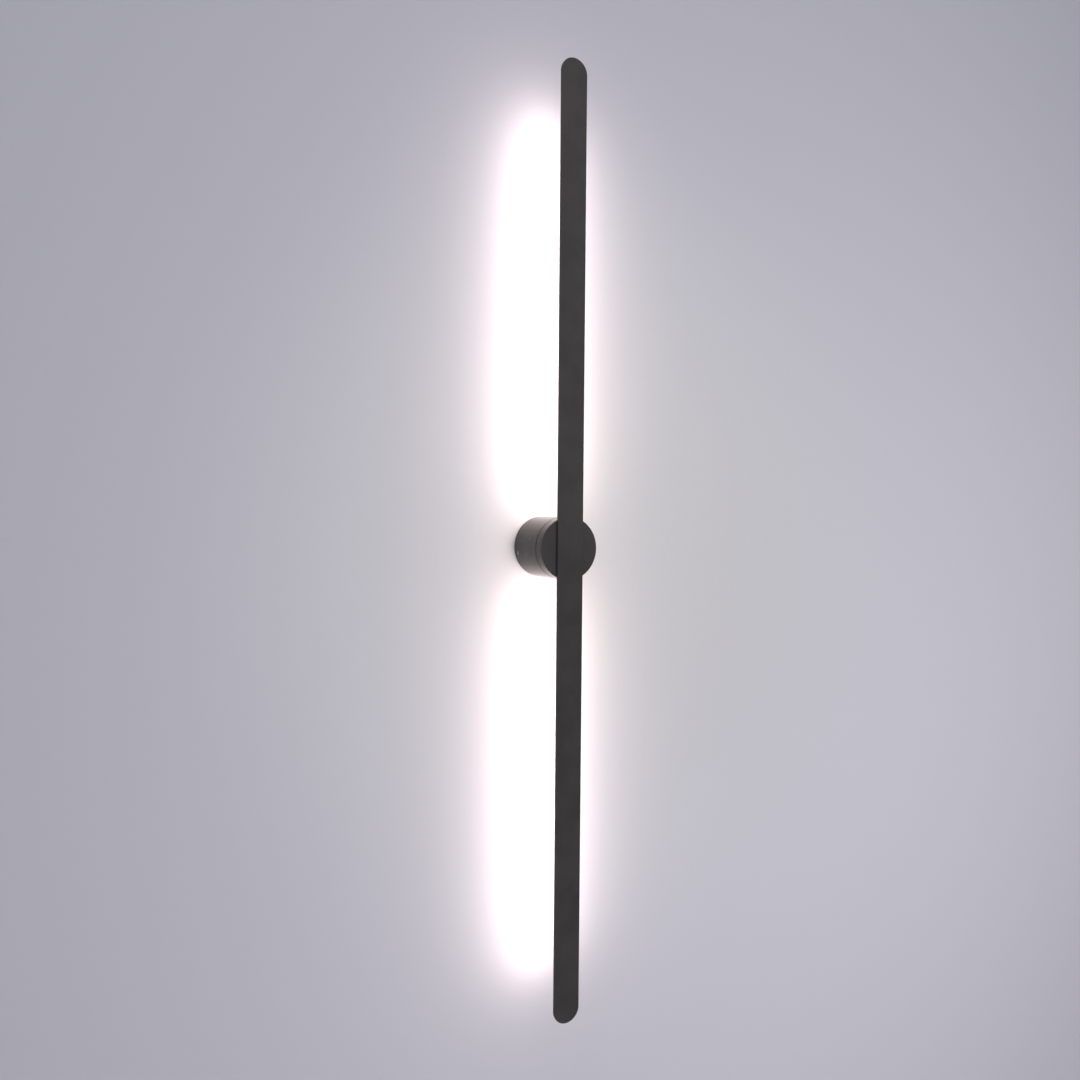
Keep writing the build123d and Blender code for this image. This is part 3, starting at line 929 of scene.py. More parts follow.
@dataclass(frozen=True, kw_only=True)
class MattPaint(Finish):
    """Rolled paint, seen from the front only, with light painted into it: a painted pool of light that
    changes shade with the distance from one place, and a painted glow blended in round another.
    """

    # Painted light: the colour fades to the edge colour with the distance from one place (a painted pool
    # of light), and a second colour is blended in round another place (a painted glow round a lamp).
    colour: Colour
    edge: Colour
    painted_glow: Colour
    painted_glow_by: Pattern
    painted_glow_tones: Tones = Tones(0.3, 0.99, 0.7, 1.01)
    shine: Point = (0.75, 0.85)
    shine_by: Pattern = PAINT_ROLLER
    layers: tuple[Layer, ...] = ((PAINT_ROLLER, 0.05 * MM),)
    specular: float = 0.2

    def stops(self) -> list[Stop]:
        """The painted pool of light: its shade at the middle and at the reach."""
        return [(0.0, self.colour), (1.0, self.edge)]

    def painted(self, sheet: Sheet) -> Socket:
        """Blend the painted glow into the painted pool of light round it.

        Args:
            sheet: The finish's sheet.

        Returns:
            The colour.
        """
        # The painted glow round a lamp, with the roller's faint tones.
        painted_glow = sheet.shades(PAINT_ROLLER, self.painted_glow_tones.of(self.painted_glow))
        return sheet.blended(sheet.value(self.painted_glow_by), painted_glow, super().painted(sheet))

    def mixed(self) -> Sheet:
        """Mix the paint, clear where it is seen from behind.

        Returns:
            Its sheet.
        """
        sheet = super().mixed()
        mix = sheet.add("ShaderNodeMixShader")
        sheet.join(sheet.add("ShaderNodeNewGeometry").outputs["Backfacing"], mix.inputs["Fac"])
        sheet.join(sheet.shader.outputs["BSDF"], mix.inputs[1])
        sheet.join(sheet.add("ShaderNodeBsdfTransparent").outputs["BSDF"], mix.inputs[2])
        sheet.join(mix.outputs["Shader"], sheet.output.inputs["Surface"])
        return sheet


BLACK_COAT = PowderCoat(slot="black_coat")
BLACK_PLASTIC = MouldedPlastic(slot="black_plastic")
ZINC_STEEL = PlatedSteel(slot="zinc_steel")
SPRING_STEEL = TurnedMetal(slot="spring_steel", colour=(0.3, 0.31, 0.35))
BRASS = TurnedMetal(slot="brass", colour=(0.72, 0.55, 0.27))
NYLON = MouldedPlastic(slot="nylon", colour=(0.03, 0.03, 0.03), shine=(0.4, 0.55), layers=moulded(1500.0))
RUBBER = Rubber(slot="rubber")
WHITE_PLASTIC = MouldedPlastic(
    slot="white_plastic", colour=(0.76, 0.75, 0.72), shine=(0.35, 0.5), layers=moulded(1900.0)
)
DRIVER_TRACKS = Cells(260.0, edges=True)
DRIVER_BOARD = CircuitBoard(
    slot="circuit_board",
    track=(0.035, 0.2, 0.08),
    mask=(0.02, 0.13, 0.05),
    colour_by=DRIVER_TRACKS,
    layers=tracked(DRIVER_TRACKS),
)
TRANSFORMER_TAPE = WoundTape(slot="transformer_tape")
CAPACITOR_SLEEVE = SoftPlastic(slot="capacitor_sleeve", colour=(0.02, 0.03, 0.07), shine=(0.2, 0.3))
MAINS_INSULATION = SoftPlastic(slot="mains_insulation", colour=(0.2, 0.07, 0.03))
LEAD_INSULATION = SoftPlastic(slot="lead_insulation", colour=(0.6, 0.59, 0.57))
LED_TRACKS = Cells(180.0, edges=True)
LED_BOARD = CircuitBoard(
    slot="led_board",
    track=(0.86, 0.86, 0.84),
    mask=(0.8, 0.8, 0.78),
    colour_by=LED_TRACKS,
    layers=tracked(LED_TRACKS),
)
LED_PHOSPHOR = Phosphor(slot="led_phosphor")
OPAL = OpalAcrylic(slot="opal_diffuser")

FLOOR_HEIGHT = -1.6
FLOOR_REACH = 40.0
FLOOR_SPAN = Distance((0.0, 0.0, FLOOR_HEIGHT), FLOOR_REACH)
# Painted light on the wall: a painted pool of light, lighter round (0.47, 0, -0.3) and darker out to 1.78
# m, and a painted glow, lighter and neutral within 0.54 m of the hub, where the bar's light falls.
WALL_PAINT_AND_PAINTED_LIGHT = MattPaint(
    slot="wall_paint_and_painted_light",
    colour=(0.672, 0.662, 0.72),
    edge=(0.33, 0.33, 0.38),
    colour_by=Distance((0.47, 0.0, -0.3), 1.78),
    painted_glow=(0.645, 0.64, 0.655),
    painted_glow_by=Distance((0.1, 0.0, 0.0), 0.54),
)
# The floor has no painted glow, because its second colour is its own colour. It lightens a little towards
# the horizon.
FLOOR_PAINT = MattPaint(
    slot="floor_paint",
    colour=(0.78, 0.77, 0.78),
    edge=(0.84, 0.84, 0.85),
    colour_by=FLOOR_SPAN,
    painted_glow=(0.78, 0.77, 0.78),
    painted_glow_by=FLOOR_SPAN,
)


# Lamps


def area_lamp(
    name: str,
    place: Vector,
    aim: Vector,
    size: Point,
    power: float,
    colour: Colour = (1.0, 1.0, 1.0),
) -> bpy.types.Object:
    """Put up a flat, soft lamp that the camera doesn't see.

    Args:
        name: The lamp's name.
        place: Where its middle is.
        aim: What it points at.
        size: Its width and height.
        power: Its power in watts.
        colour: The colour of its light.

    Returns:
        The lamp.
    """
    light = bpy.data.lights.new(name, "AREA")
    light.shape = "RECTANGLE"
    light.size, light.size_y = size
    light.energy = power
    light.color = colour
    lamp = linked(name, light)
    lamp.visible_camera = False
    turn = (aim - place).to_track_quat("-Z", "Y").to_matrix().to_4x4()
    lamp.matrix_world = Matrix.Translation(place) @ turn
    return lamp


# Sub-assemblies


class SubAssembly(ABC):
    """A group of pieces that is built, dressed and reported together."""

    @abstractmethod
    def build(self) -> None:
        """Build and dress the group's pieces."""

    def fit(self, piece: Piece, body: Body, finish: Finish, *nodes: str) -> None:
        """Dress a piece and let it ride in the place of its nodes.

        Args:
            piece: The finished mesh, in place.
            body: What it moves with.
            finish: Its surface finish.
            nodes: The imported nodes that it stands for.
        """
        piece.data.materials.clear()
        piece.data.materials.append(finish.material())
        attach(piece, body.value)
        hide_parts(*nodes)
        faces = len(piece.data.polygons)
        log.info("%s: %s on %s, %d faces", type(self).__name__, piece.name, body.value, faces)

    def eased(self, body: Body, dressing: dict[str, tuple[Finish, float]]) -> None:
        """Stand copies with eased edges in the places of nodes.

        Args:
            body: What they move with.
            dressing: For each node, its surface finish and the reach of the easing.
        """
        for node, (finish, width) in dressing.items():
            copy = node_copy(node, node + "_piece")
            ease(copy, width)
            smooth(copy)
            self.fit(copy, body, finish, node)


@dataclass
class Hub(SubAssembly):
    """The fixed cup on the wall and the head that turns in front of it."""

    wall: float = 2.5 * MM
    front: float = 3.0 * MM
    rim_round: float = 0.35 * MM
    face_round: float = 0.8 * MM
    bore_round: float = 0.2 * MM
    floor_round: float = 1.0 * MM
    bush_bore: float = 7.05 * MM
    boss_radius: float = 3.8 * MM
    boss_hole: float = 1.55 * MM
    boss_hole_depth: float = 8.0 * MM
    grub_hole: float = 2.2 * MM
    grub_countersink: float = 0.3 * MM
    grub_depth: float = 6.5 * MM
    grub_angle: float = math.radians(12)
    stop_width: float = 4.6 * MM
    stop_depth: float = 1.5 * MM
    head_core: float = 1.0 * MM
    groove_width: float = 3.15 * MM
    groove_depth: float = 8.25 * MM
    rail_clearance: float = 0.25 * MM
    wire_groove: float = 5.0 * MM
    flange_recess: float = 12.55 * MM
    flange_depth: float = 2.0 * MM
    tube_bore: float = 3.5 * MM
    run_out: float = 0.5 * MM
    groove_run_out: float = 1.0 * MM
    rim_steps: int = 200
    face_steps: int = 8
    bore_steps: int = 72
    hole_steps: int = 48
    boss_hole_steps: int = 32
    stop_steps: int = 60
    stop_end_steps: int = 12

    def __post_init__(self) -> None:
        """Take the hub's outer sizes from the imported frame."""
        low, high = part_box("base_cup")
        self.radius = high.x
        self.cup_depth = -low.y
        low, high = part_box("swivel_head")
        self.head_back = -high.y
        self.head_face = -low.y
        self.driver_front = -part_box("driver_case")[0].y
        low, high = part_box("driver_screws")
        self.boss_x = high.x - (high.z - low.z) / 2
        self.boss_z = (low.z + high.z) / 2
        low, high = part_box("stop_pin")
        self.stop_circle = -(low.z + high.z) / 2
        self.rail_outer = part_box("end_cap_upper")[1].x

    def grub_spokes(self) -> list[Vector]:
        """Directions from the hub's axis to the two grub screws."""
        angles = (self.grub_angle, self.grub_angle + math.pi)
        return [Vector((math.cos(a), 0, math.sin(a))) for a in angles]

    def stop_outline(self) -> list[Point]:
        """Trace the stop pin's groove: an arc with round ends, open at the top.

        Returns:
            The outline's points.
        """
        limit = math.radians(frame["joints"][0]["range_deg"][1])
        half = self.stop_width / 2
        first = -math.pi / 2 - limit
        last = -math.pi / 2 + limit
        turns = even(first, last, self.stop_steps)
        ends = even(0, math.pi, self.stop_end_steps)[1:-1]
        outer = [polar(self.stop_circle + half, a) for a in turns]
        round_last = [polar(half, last + a, *polar(self.stop_circle, last)) for a in ends]
        inner = [polar(self.stop_circle - half, a) for a in reversed(turns)]
        round_first = [polar(-half, first + a, *polar(self.stop_circle, first)) for a in ends]
        return outer + round_last + inner + round_first

    def grub_drill(self, spoke: Vector) -> Piece:
        """Make the drill for a grub screw's countersunk hole.

        Args:
            spoke: Direction from the hub's axis to the screw.

        Returns:
            The drill's shape.
        """
        mouth = self.grub_hole + self.grub_countersink
        profile = [
            (self.grub_hole, self.radius - self.wall - self.run_out),
            (self.grub_hole, self.radius - self.grub_countersink),
            (mouth, self.radius),
            (mouth + self.run_out, self.radius + self.run_out),
        ]
        place = standing(Vector((0, -self.grub_depth, 0)), spoke)
        return turned("grub_drill", profile, self.hole_steps, place)

    def cup(self) -> Piece:
        """Make the fixed cup: turned, with bosses, grub screw holes and the stop's groove.

        Returns:
            The cup.
        """
        inner = self.radius - self.wall
        floor = self.cup_depth - self.front
        profile = rounded(
            [
                (self.bush_bore, self.cup_depth, self.bore_round),
                (self.radius, self.cup_depth, self.rim_round),
                (self.radius, 0, self.rim_round),
                (inner, 0, self.rim_round),
                (inner, floor, self.floor_round),
                (self.bush_bore, floor, self.bore_round),
            ]
        )
        cup = turned("base_cup_piece", profile, self.rim_steps, ring=True)
        hole_start = self.driver_front - self.run_out
        hole_end = self.driver_front + self.boss_hole_depth
        bosses: list[Piece] = []
        tools: list[Piece] = []
        for x in (self.boss_x, -self.boss_x):
            boss = circle(x, self.boss_z, self.boss_radius)
            bosses.append(drawn("boss", boss, self.driver_front, floor + self.run_out, WALL_SIDE))
            hole = circle(x, self.boss_z, self.boss_hole, self.boss_hole_steps)
            tools.append(drawn("boss_hole", hole, hole_start, hole_end, WALL_SIDE))
        work(cup, bosses, Operation.JOIN)
        tools += [self.grub_drill(spoke) for spoke in self.grub_spokes()]
        groove_floor = self.cup_depth - self.stop_depth
        groove_top = self.cup_depth + self.run_out
        tools.append(drawn("stop_groove", self.stop_outline(), groove_floor, groove_top, WALL_SIDE))
        work(cup, tools)
        smooth(cup)
        return cup

    def head(self) -> Piece:
        """Make the turning head: a disc grooved for the bar's rails and the lamp leads.

        Returns:
            The head.
        """
        profile = rounded(
            [
                (self.head_core, self.head_back, 0),
                (self.radius, self.head_back, self.rim_round),
                (self.radius, self.head_face, self.face_round),
                (self.head_core, self.head_face, 0),
            ],
            self.face_steps,
        )
        head = turned("swivel_head_piece", profile, self.rim_steps)
        reach = 2 * (self.radius + self.groove_run_out)
        top = self.head_face + self.run_out
        rail_x = self.rail_outer + self.rail_clearance - self.groove_width / 2
        floor = self.head_face - self.groove_depth
        tools = [
            drawn("rail_groove", rectangle(x, 0, self.groove_width, reach), floor, top, WALL_SIDE)
            for x in (rail_x, -rail_x)
        ]
        step = self.head_back + self.flange_depth
        wire_floor = self.head_face - self.wire_groove
        bore = [
            (self.flange_recess, self.head_back - self.run_out),
            (self.flange_recess, step),
            (self.tube_bore, step),
            (self.tube_bore, wire_floor + self.run_out),
        ]
        tools.append(turned("pivot_bore", bore, self.bore_steps))
        work(head, tools)
        wires = rectangle(0, 0, self.wire_groove, reach)
        work(head, [drawn("wire_groove", wires, wire_floor, top, WALL_SIDE)])
        smooth(head)
        return head

    def build(self) -> None:
        """Build the cup and the head."""
        self.fit(self.cup(), Body.BASE, BLACK_COAT, "base_cup")
        self.fit(self.head(), Body.HEAD, BLACK_COAT, "swivel_head")


@dataclass
class LightBar(SubAssembly):
    """The bar: a flat face with round ends, and the two rails of its extrusion behind it."""

    face_round: float = 0.55 * MM
    back_round: float = 0.3 * MM
    rail_thickness: float = 1.3 * MM
    rail_root: float = 0.1 * MM
    rail_round: float = 0.25 * MM
    lip_round: float = 0.2 * MM
    nook_round: float = 0.1 * MM
    ridge_reach: float = 0.6 * MM
    ridge_height: float = 0.8 * MM
    diffuser_face: float = 1.2 * MM
    cap_cover: float = 1.5 * MM
    end_steps: int = 48
    edge_steps: int = 5
    rail_steps: int = 3
    sharp_angle: float = 40.0

    def __post_init__(self) -> None:
        """Take the bar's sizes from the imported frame."""
        low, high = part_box("bar_profile")
        self.half_length = high.z
        self.half_width = high.x
        self.face = -low.y
        self.rail_back = -high.y
        low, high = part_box("end_cap_upper")
        self.back = -low.y
        self.rail_outer = high.x
        self.rail_half = high.z - self.cap_cover

    def outline(self, inset: float, depth: float) -> list[Vector]:
        """Trace the bar's outline with full-round ends.

        Args:
            inset: How far it is drawn in.
            depth: Its depth.

        Returns:
            The loop's points.
        """
        radius = self.half_width - inset
        centre = self.half_length - self.half_width
        loop: list[Vector] = []
        for side in (1, -1):
            for angle in even(0, math.pi, self.end_steps):
                x, z = polar(radius, angle, 0.0, centre)
                loop.append(Vector((side * x, -depth, side * z)))
        return loop

    def plate(self) -> Piece:
        """Make the flat face, with rounded edges.

        Returns:
            The plate.
        """
        loops: list[list[Vector]] = []
        quarter = even(0, math.pi / 2, self.edge_steps)
        for a in quarter:
            inset = self.back_round * (1 - math.sin(a))
            loops.append(self.outline(inset, self.back + self.back_round * (1 - math.cos(a))))
        for a in quarter:
            inset = self.face_round * (1 - math.cos(a))
            loops.append(self.outline(inset, self.face - self.face_round * (1 - math.sin(a))))
        return skinned("bar_piece", loops)

    def rail(self, side: int) -> Piece:
        """Make one rail with its snap ridge, its root a little way into the plate.

        Args:
            side: 1 for the right one, -1 for the left one.

        Returns:
            The rail.
        """
        outer = self.rail_outer
        inner = outer - self.rail_thickness
        ridge = inner - self.ridge_reach
        top = self.rail_back + self.diffuser_face
        low = top + self.ridge_height
        root = self.back + self.rail_root
        corners = [
            (outer, root, 0),
            (outer, self.rail_back, self.rail_round),
            (inner, self.rail_back, self.lip_round),
            (inner, top, self.nook_round),
            (ridge, top, self.lip_round),
            (ridge, low, self.lip_round),
            (inner, low, self.nook_round),
            (inner, root, 0),
        ]
        outline = [(side * x, y) for x, y in rounded(corners, self.rail_steps)]
        return drawn("bar_rail", outline, -self.rail_half, self.rail_half, ACROSS_BAR)

    def build(self) -> None:
        """Build the bar in one piece."""
        bar = self.plate()
        work(bar, [self.rail(1), self.rail(-1)], Operation.JOIN)
        smooth(bar, self.sharp_angle)
        self.fit(bar, Body.HEAD, BLACK_COAT, "bar_profile")


@dataclass
class LitStrip(SubAssembly):
    """One lit stretch of the bar: LED board, LEDs, opal diffuser, end cap and leads."""

    level: Level
    leg: float = 0.9 * MM
    face: float = 1.2 * MM
    hook_reach: float = 0.6 * MM
    hook_height: float = 0.9 * MM
    crown: float = 0.35 * MM
    leg_round: float = 0.2 * MM
    hook_round: float = 0.1 * MM
    round_steps: int = 4
    power: float = 0.475
    glow: Colour = (1.0, 0.82, 0.77)
    glow_gap: float = 0.2 * MM

    def shine(self) -> None:
        """Let light leave the diffuser's face towards the wall."""
        low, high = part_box(f"diffuser_{self.level.value}")
        place = Vector((0, high.y + self.glow_gap, (low.z + high.z) / 2))
        aim = place + Vector(Facing.WALL.value)
        size = (high.x - low.x, high.z - low.z)
        lamp = area_lamp(f"glow_{self.level.value}", place, aim, size, self.power, self.glow)
        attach(lamp, Body.HEAD.value)

    def diffuser(self) -> Piece:
        """Make the opal diffuser, with its snap legs and softly rounded edges.

        Returns:
            The diffuser.
        """
        low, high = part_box(f"diffuser_{self.level.value}")
        back = -high.y
        step = back + self.face
        hook = -low.y
        barb = hook - self.hook_height
        wide = high.x
        outer = wide - self.hook_reach
        inner = outer - self.leg
        half = [
            (wide, back, self.crown),
            (wide, step, self.hook_round),
            (outer, step, 0),
            (outer, barb, 0),
            (wide, barb, 0),
            (outer, hook, self.hook_round),
            (inner, hook, self.leg_round),
            (inner, step, self.leg_round),
        ]
        mirrored = [(-x, y, radius) for x, y, radius in reversed(half)]
        outline = rounded(half + mirrored, self.round_steps)
        diffuser = drawn(f"diffuser_{self.level.value}_piece", outline, low.z, high.z, ACROSS_BAR)
        smooth(diffuser)
        return diffuser

    def build(self) -> None:
        """Build the strip's pieces."""
        word = self.level.value
        self.fit(self.diffuser(), Body.HEAD, OPAL, f"diffuser_{word}")
        self.shine()
        dressing = {
            f"end_cap_{word}": (BLACK_PLASTIC, 0.3 * MM),
            f"led_board_{word}": (LED_BOARD, 0.1 * MM),
            f"led_chips_{word}": (LED_PHOSPHOR, 0.15 * MM),
            f"lamp_leads_{word}": (LEAD_INSULATION, 0.3 * MM),
        }
        self.eased(Body.HEAD, dressing)


@dataclass
class Pivot(SubAssembly):
    """The hollow pivot on which the head turns."""

    easing: float = 0.2 * MM

    def build(self) -> None:
        """Build the pivot's pieces."""
        turning = {
            "pivot_tube": (ZINC_STEEL, self.easing),
            "pivot_nut": (ZINC_STEEL, self.easing),
            "disc_spring": (SPRING_STEEL, self.easing),
            "stop_pin": (SPRING_STEEL, self.easing),
        }
        fixed = {
            "pivot_bush": (NYLON, self.easing),
            "slide_washer": (NYLON, self.easing),
        }
        self.eased(Body.HEAD, turning)
        self.eased(Body.BASE, fixed)


@dataclass
class WallFixing(SubAssembly):
    """The bracket on the wall, its cable grommet, and the terminal block on it."""

    bore: float = 4.5 * MM
    neck: float = 6.0 * MM
    plate: float = 1.5 * MM
    bore_round: float = 0.3 * MM
    neck_round: float = 0.2 * MM
    lip_round: float = 0.7 * MM
    mouth_round: float = 0.6 * MM
    grommet_steps: int = 96
    easing: float = 0.15 * MM

    def grommet(self) -> Piece:
        """Make the rubber grommet, with a soft lip.

        Returns:
            The grommet.
        """
        low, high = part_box("cable_grommet")
        flange = high.x
        depth = -low.y
        profile = rounded(
            [
                (self.bore, 0, self.bore_round),
                (self.neck, 0, self.neck_round),
                (self.neck, self.plate, 0),
                (flange, self.plate, self.bore_round),
                (flange, depth, self.lip_round),
                (self.bore, depth, self.mouth_round),
            ]
        )
        grommet = turned("cable_grommet_piece", profile, self.grommet_steps, ring=True)
        smooth(grommet)
        return grommet

    def build(self) -> None:
        """Build the fixing's pieces."""
        self.eased(Body.BASE, {"wall_bracket": (ZINC_STEEL, self.easing)})
        self.fit(self.grommet(), Body.BASE, RUBBER, "cable_grommet")
        self.eased(Body.BASE, {"terminal_block": (WHITE_PLASTIC, self.easing)})


@dataclass
class Driver(SubAssembly):
    """The LED driver inside the cup, and its leads."""

    def build(self) -> None:
        """Build the driver's pieces."""
        dressing = {
            "driver_case": (WHITE_PLASTIC, 0.25 * MM),
            "driver_lid": (WHITE_PLASTIC, 0.25 * MM),
            "driver_board": (DRIVER_BOARD, 0.1 * MM),
            "driver_transformer": (TRANSFORMER_TAPE, 0.3 * MM),
            "driver_capacitor": (CAPACITOR_SLEEVE, 0.2 * MM),
            "mains_leads": (MAINS_INSULATION, 0.3 * MM),
            "driver_leads": (LEAD_INSULATION, 0.25 * MM),
        }
        self.eased(Body.BASE, dressing)


# Fasteners

# Share of a head's height that is crowned.
CROWNS = {HeadForm.PAN: 0.75, HeadForm.CAP: 0.15}
HEX_SIDES = 6


@dataclass(frozen=True)
class Screw:
    """A screw with its head, its drive and its thread; the thread's cuts are shares of its pitch."""

    shank: float
    length: float
    head: HeadForm
    drive: Drive
    head_radius: float = 0.0
    head_height: float = 0.0
    pitch: float = 0.5 * MM
    drive_width: float = 2.5 * MM
    drive_depth: float = 1.2 * MM
    thread_cut: float = 0.6
    lead_in: float = 0.3
    tip: float = 0.8
    chamfer: float = 0.3 * MM
    flat_rim: float = 0.1 * MM
    crown_end: float = math.radians(75)
    crown_steps: int = 5
    slot_share: float = 0.25
    run_out: float = 1.0 * MM
    steps: int = 40

    def thread(self) -> list[Point]:
        """Trace the thread from the tip to the head.

        Returns:
            The profile's points.
        """
        root = self.shank - self.thread_cut * self.pitch
        turns = int((self.length - self.pitch) / self.pitch)
        profile = [(root * self.tip, -self.length), (root, -self.length + self.lead_in * self.pitch)]
        for turn in range(turns):
            low = -self.length + (turn + 0.5) * self.pitch
            profile.append((root, low))
            profile.append((self.shank, low + self.pitch / 2))
        return profile

    def top(self) -> list[Point]:
        """Trace the head, from the seat to the top.

        Returns:
            The profile's points.
        """
        radius = self.head_radius
        height = self.head_height
        if self.head is HeadForm.NONE:
            return [(self.shank, -self.chamfer), (self.shank - self.chamfer, 0.0)]
        if self.head is HeadForm.FLAT:
            return [(self.shank, self.shank - radius), (radius, -self.flat_rim), (radius, 0.0)]
        crown = height * CROWNS[self.head]
        angles = even(0, self.crown_end, self.crown_steps)
        arc = [polar(crown, a, radius - crown, height - crown) for a in angles]
        return [(self.shank, 0.0), (radius, 0.0), *arc]

    def keyway(self, place: Matrix) -> list[Piece]:
        """Make the shapes that cut the drive into the head.

        Args:
            place: The screw's frame.

        Returns:
            The shapes.
        """
        wide = self.drive_width
        narrow = wide * self.slot_share
        outlines = {
            Drive.SOCKET: [circle(0, 0, wide / math.sqrt(3), HEX_SIDES)],
            Drive.CROSS: [rectangle(0, 0, wide, narrow), rectangle(0, 0, narrow, wide)],
            Drive.SLOT: [rectangle(0, 0, 2 * self.head_radius + self.run_out, narrow)],
        }
        low = self.head_height - self.drive_depth
        high = self.head_height + self.run_out
        return [drawn("key", outline, low, high, place) for outline in outlines[self.drive]]

    def build(self, name: str, seat: Vector, outward: Vector) -> Piece:
        """Make the screw.

        Args:
            name: The screw's name.
            seat: Middle of the head's underside.
            outward: Direction from the seat to the head.

        Returns:
            The screw.
        """
        place = standing(seat, outward)
        screw = turned(name, self.thread() + self.top(), self.steps, place)
        work(screw, self.keyway(place))
        return screw


@dataclass(frozen=True)
class Fasteners(SubAssembly):
    """Screws of one kind, in the place of their plain node."""

    node: str
    body: Body
    finish: Finish
    screw: Screw

    @abstractmethod
    def seats(self) -> list[Seat]:
        """For each screw, the middle of its head's underside and its direction outwards."""

    def build(self) -> None:
        """Make the screws in one piece."""
        made: list[Piece] = []
        for number, (seat, outward) in enumerate(self.seats()):
            made.append(self.screw.build(f"{self.node}_{number}", seat, outward))
        screws = joined(self.node + "_piece", made)
        smooth(screws)
        self.fit(screws, self.body, self.finish, self.node)


@dataclass(frozen=True)
class GrubScrews(Fasteners):
    """The two grub screws that hold the cup on the bracket's ears."""

    hub: Hub
    sunk: float = 0.4 * MM

    def seats(self) -> list[Seat]:
        """Seat the screws a little below the cup's surface.

        Returns:
            The middles of their outer ends and their directions outwards.
        """
        depth = Vector((0, -self.hub.grub_depth, 0))
        radius = self.hub.radius - self.sunk
        return [(spoke * radius + depth, spoke) for spoke in self.hub.grub_spokes()]


@dataclass(frozen=True)
class SpreadScrews(Fasteners):
    """Screws that face the wall or the room, spread evenly over their node's box."""

    facing: Facing
    columns: int = 1
    rows: int = 1

    def seats(self) -> list[Seat]:
        """Set the screws out in columns and rows.

        Returns:
            The middles of the heads' undersides and their directions outwards.
        """
        low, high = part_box(self.node)
        radius = self.screw.head_radius
        height = self.screw.head_height
        y = high.y - height if self.facing is Facing.WALL else low.y + height
        xs = spread(low.x + radius, high.x - radius, self.columns)
        zs = spread(low.z + radius, high.z - radius, self.rows)
        return [(Vector((x, y, z)), Vector(self.facing.value)) for x in xs for z in zs]


GRUB_SCREW = Screw(
    shank=2.0 * MM,
    length=5.7 * MM,
    head=HeadForm.NONE,
    drive=Drive.SOCKET,
    pitch=0.7 * MM,
    drive_width=2.0 * MM,
    drive_depth=1.8 * MM,
)
BAR_SCREW = Screw(
    shank=1.5 * MM,
    length=10.6 * MM,
    head=HeadForm.CAP,
    drive=Drive.SOCKET,
    head_radius=2.75 * MM,
    head_height=3.0 * MM,
    drive_depth=1.5 * MM,
)
PIVOT_SCREW = Screw(
    shank=1.5 * MM,
    length=5.5 * MM,
    head=HeadForm.FLAT,
    drive=Drive.CROSS,
    head_radius=2.75 * MM,
    drive_depth=1.0 * MM,
)
DRIVER_SCREW = Screw(
    shank=1.5 * MM,
    length=10.3 * MM,
    head=HeadForm.PAN,
    drive=Drive.CROSS,
    head_radius=2.75 * MM,
    head_height=2.0 * MM,
)
EARTH_SCREW = Screw(
    shank=2.0 * MM,
    length=1.2 * MM,
    head=HeadForm.PAN,
    drive=Drive.CROSS,
    head_radius=4.0 * MM,
    head_height=2.6 * MM,
    drive_width=3.5 * MM,
)
TERMINAL_SCREW = Screw(
    shank=1.5 * MM,
    length=0.8 * MM,
    head=HeadForm.CAP,
    drive=Drive.SLOT,
    head_radius=1.7 * MM,
    head_height=1.7 * MM,
    drive_width=2.4 * MM,
    drive_depth=0.8 * MM,
)


def fasteners(hub: Hub) -> list[Fasteners]:
    """List every screw of the light.

    Args:
        hub: The hub, which the grub screws sit in.

    Returns:
        The screws, by kind.
    """
    wall = Facing.WALL
    room = Facing.ROOM
    return [
        GrubScrews("grub_screws", Body.BASE, ZINC_STEEL, GRUB_SCREW, hub),
        SpreadScrews("bar_screws", Body.HEAD, ZINC_STEEL, BAR_SCREW, wall, columns=2, rows=2),
        SpreadScrews("pivot_screws", Body.HEAD, ZINC_STEEL, PIVOT_SCREW, wall, rows=2),
        SpreadScrews("driver_screws", Body.BASE, ZINC_STEEL, DRIVER_SCREW, wall, columns=2),
        SpreadScrews("earth_screw", Body.BASE, BRASS, EARTH_SCREW, room),
        SpreadScrews("terminal_screws", Body.BASE, ZINC_STEEL, TERMINAL_SCREW, room, columns=3, rows=2),
    ]


# Scene


@dataclass(frozen=True)
class StudioLamp:
    """A square, soft lamp that points at the hub."""

    name: str
    place: Corner
    width: float
    power: float


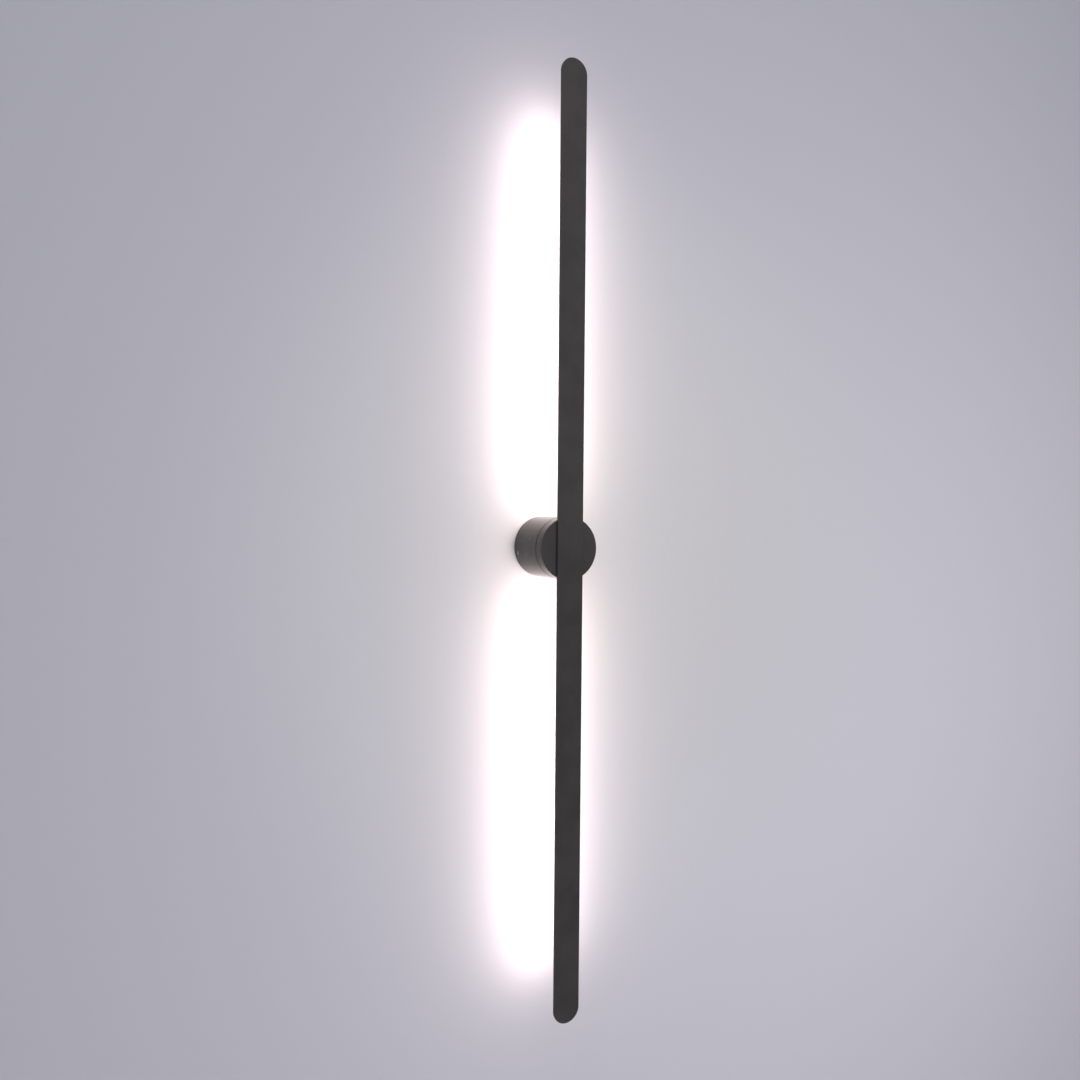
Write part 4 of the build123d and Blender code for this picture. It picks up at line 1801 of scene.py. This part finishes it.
@dataclass
class Room:
    """The pale wall and floor, and soft studio light."""

    wall_gap: float = 0.5 * MM
    wall_size: float = 5.0
    wall_steps: int = 64
    hole: float = 31.0 * MM
    pale: Colour = (0.98, 0.98, 1.0)
    ambient: Colour = (0.86, 0.86, 0.88)
    lamps: tuple[StudioLamp, ...] = (
        StudioLamp("top", (-0.9, -1.5, 2.4), 2.0, 16.0),
        StudioLamp("back", (0.7, 1.9, 0.9), 1.6, 20.0),
    )

    def show(self, stage: Piece, facing: Facing, paint: MattPaint) -> None:
        """Turn a flat of the stage to face its way, and paint it.

        Args:
            stage: The flat.
            facing: The way that its front faces.
            paint: Its paint.
        """
        if stage.data.polygons[0].normal.dot(Vector(facing.value)) < 0:
            stage.data.flip_normals()
        stage.data.materials.append(paint.material())

    def wall(self) -> None:
        """Put up the wall, open behind the hub."""
        inner: list[Vector] = []
        outer: list[Vector] = []
        for angle in spokes(self.wall_steps):
            spoke = Vector((math.cos(angle), 0, math.sin(angle)))
            reach = self.wall_size / max(abs(spoke.x), abs(spoke.z))
            inner.append(spoke * self.hole + Vector((0, self.wall_gap, 0)))
            outer.append(spoke * reach + Vector((0, self.wall_gap, 0)))
        count = self.wall_steps
        faces = [(s, (s + 1) % count, (s + 1) % count + count, s + count) for s in range(count)]
        self.show(link_mesh("wall", inner + outer, faces), Facing.ROOM, WALL_PAINT_AND_PAINTED_LIGHT)

    def floor(self) -> None:
        """Lay the floor, wide enough to reach the horizon of any view."""
        rim = [Vector((x, y, FLOOR_HEIGHT)) for x, y in circle(0, 0, FLOOR_REACH)]
        self.show(link_mesh("floor", rim, [range(len(rim))]), Facing.CEILING, FLOOR_PAINT)

    def world(self) -> None:
        """Set even light all round, with a pale background for what looks past the wall."""
        world = bpy.data.worlds.new("studio")
        bpy.context.scene.world = world
        world.use_nodes = True
        tree = world.node_tree
        link = tree.links.new
        glow = tree.nodes["Background"]
        glow.inputs["Color"].default_value = (*self.ambient, 1)
        backdrop = tree.nodes.new("ShaderNodeBackground")
        backdrop.inputs["Color"].default_value = (*self.pale, 1)
        path = tree.nodes.new("ShaderNodeLightPath")
        seen: Socket = path.outputs["Is Camera Ray"]
        for ray in ("Is Glossy Ray", "Is Transmission Ray"):
            either = tree.nodes.new("ShaderNodeMath")
            either.operation = "MAXIMUM"
            link(seen, either.inputs[0])
            link(path.outputs[ray], either.inputs[1])
            seen = either.outputs["Value"]
        mix = tree.nodes.new("ShaderNodeMixShader")
        link(seen, mix.inputs["Fac"])
        link(glow.outputs["Background"], mix.inputs[1])
        link(backdrop.outputs["Background"], mix.inputs[2])
        link(mix.outputs["Shader"], tree.nodes["World Output"].inputs["Surface"])

    def build(self) -> None:
        """Set the stage and the light."""
        self.wall()
        self.floor()
        self.world()
        hub = Vector((0, 0, 0))
        for lamp in self.lamps:
            area_lamp(lamp.name, Vector(lamp.place), hub, (lamp.width, lamp.width), lamp.power)
        bpy.context.scene.view_settings.view_transform = "Standard"


@dataclass
class PhotoCamera:
    """The camera at the photograph's place, fitted to the bar's and the hub's outlines."""

    place: Corner = (-447.603 * MM, -835.445 * MM, 35.963 * MM)
    yaw: float = math.radians(28.1)
    pitch: float = math.radians(-1.749)
    roll: float = math.radians(0.45)
    lens: float = 28.717
    sensor: float = 36.0
    nearest: float = 10.0 * MM

    def build(self) -> None:
        """Set up the camera."""
        ahead = math.cos(self.pitch)
        forward = Vector((math.sin(self.yaw) * ahead, math.cos(self.yaw) * ahead, math.sin(self.pitch)))
        level = Vector((math.cos(self.yaw), -math.sin(self.yaw), 0))
        upright = level.cross(forward)
        right = level * math.cos(self.roll) + upright * math.sin(self.roll)
        up = upright * math.cos(self.roll) - level * math.sin(self.roll)
        data = bpy.data.cameras.new("photo_camera")
        data.sensor_width = self.sensor
        data.lens = self.lens
        data.clip_start = self.nearest
        camera = linked("photo_camera", data)
        turn = Matrix((right, up, -forward)).transposed().to_4x4()
        camera.matrix_world = Matrix.Translation(Vector(self.place)) @ turn
        bpy.context.scene.camera = camera


def main() -> None:
    """Build the sconce group by group, then the room and the camera."""
    logging.basicConfig(level=logging.INFO, format="%(message)s")
    hub = Hub()
    groups: list[SubAssembly] = [hub, LightBar()]
    groups += [LitStrip(level) for level in Level]
    groups += [Pivot(), WallFixing(), Driver()]
    groups += fasteners(hub)
    for group in groups:
        group.build()
    Room().build()
    PhotoCamera().build()


if __name__ == "__main__":
    main()
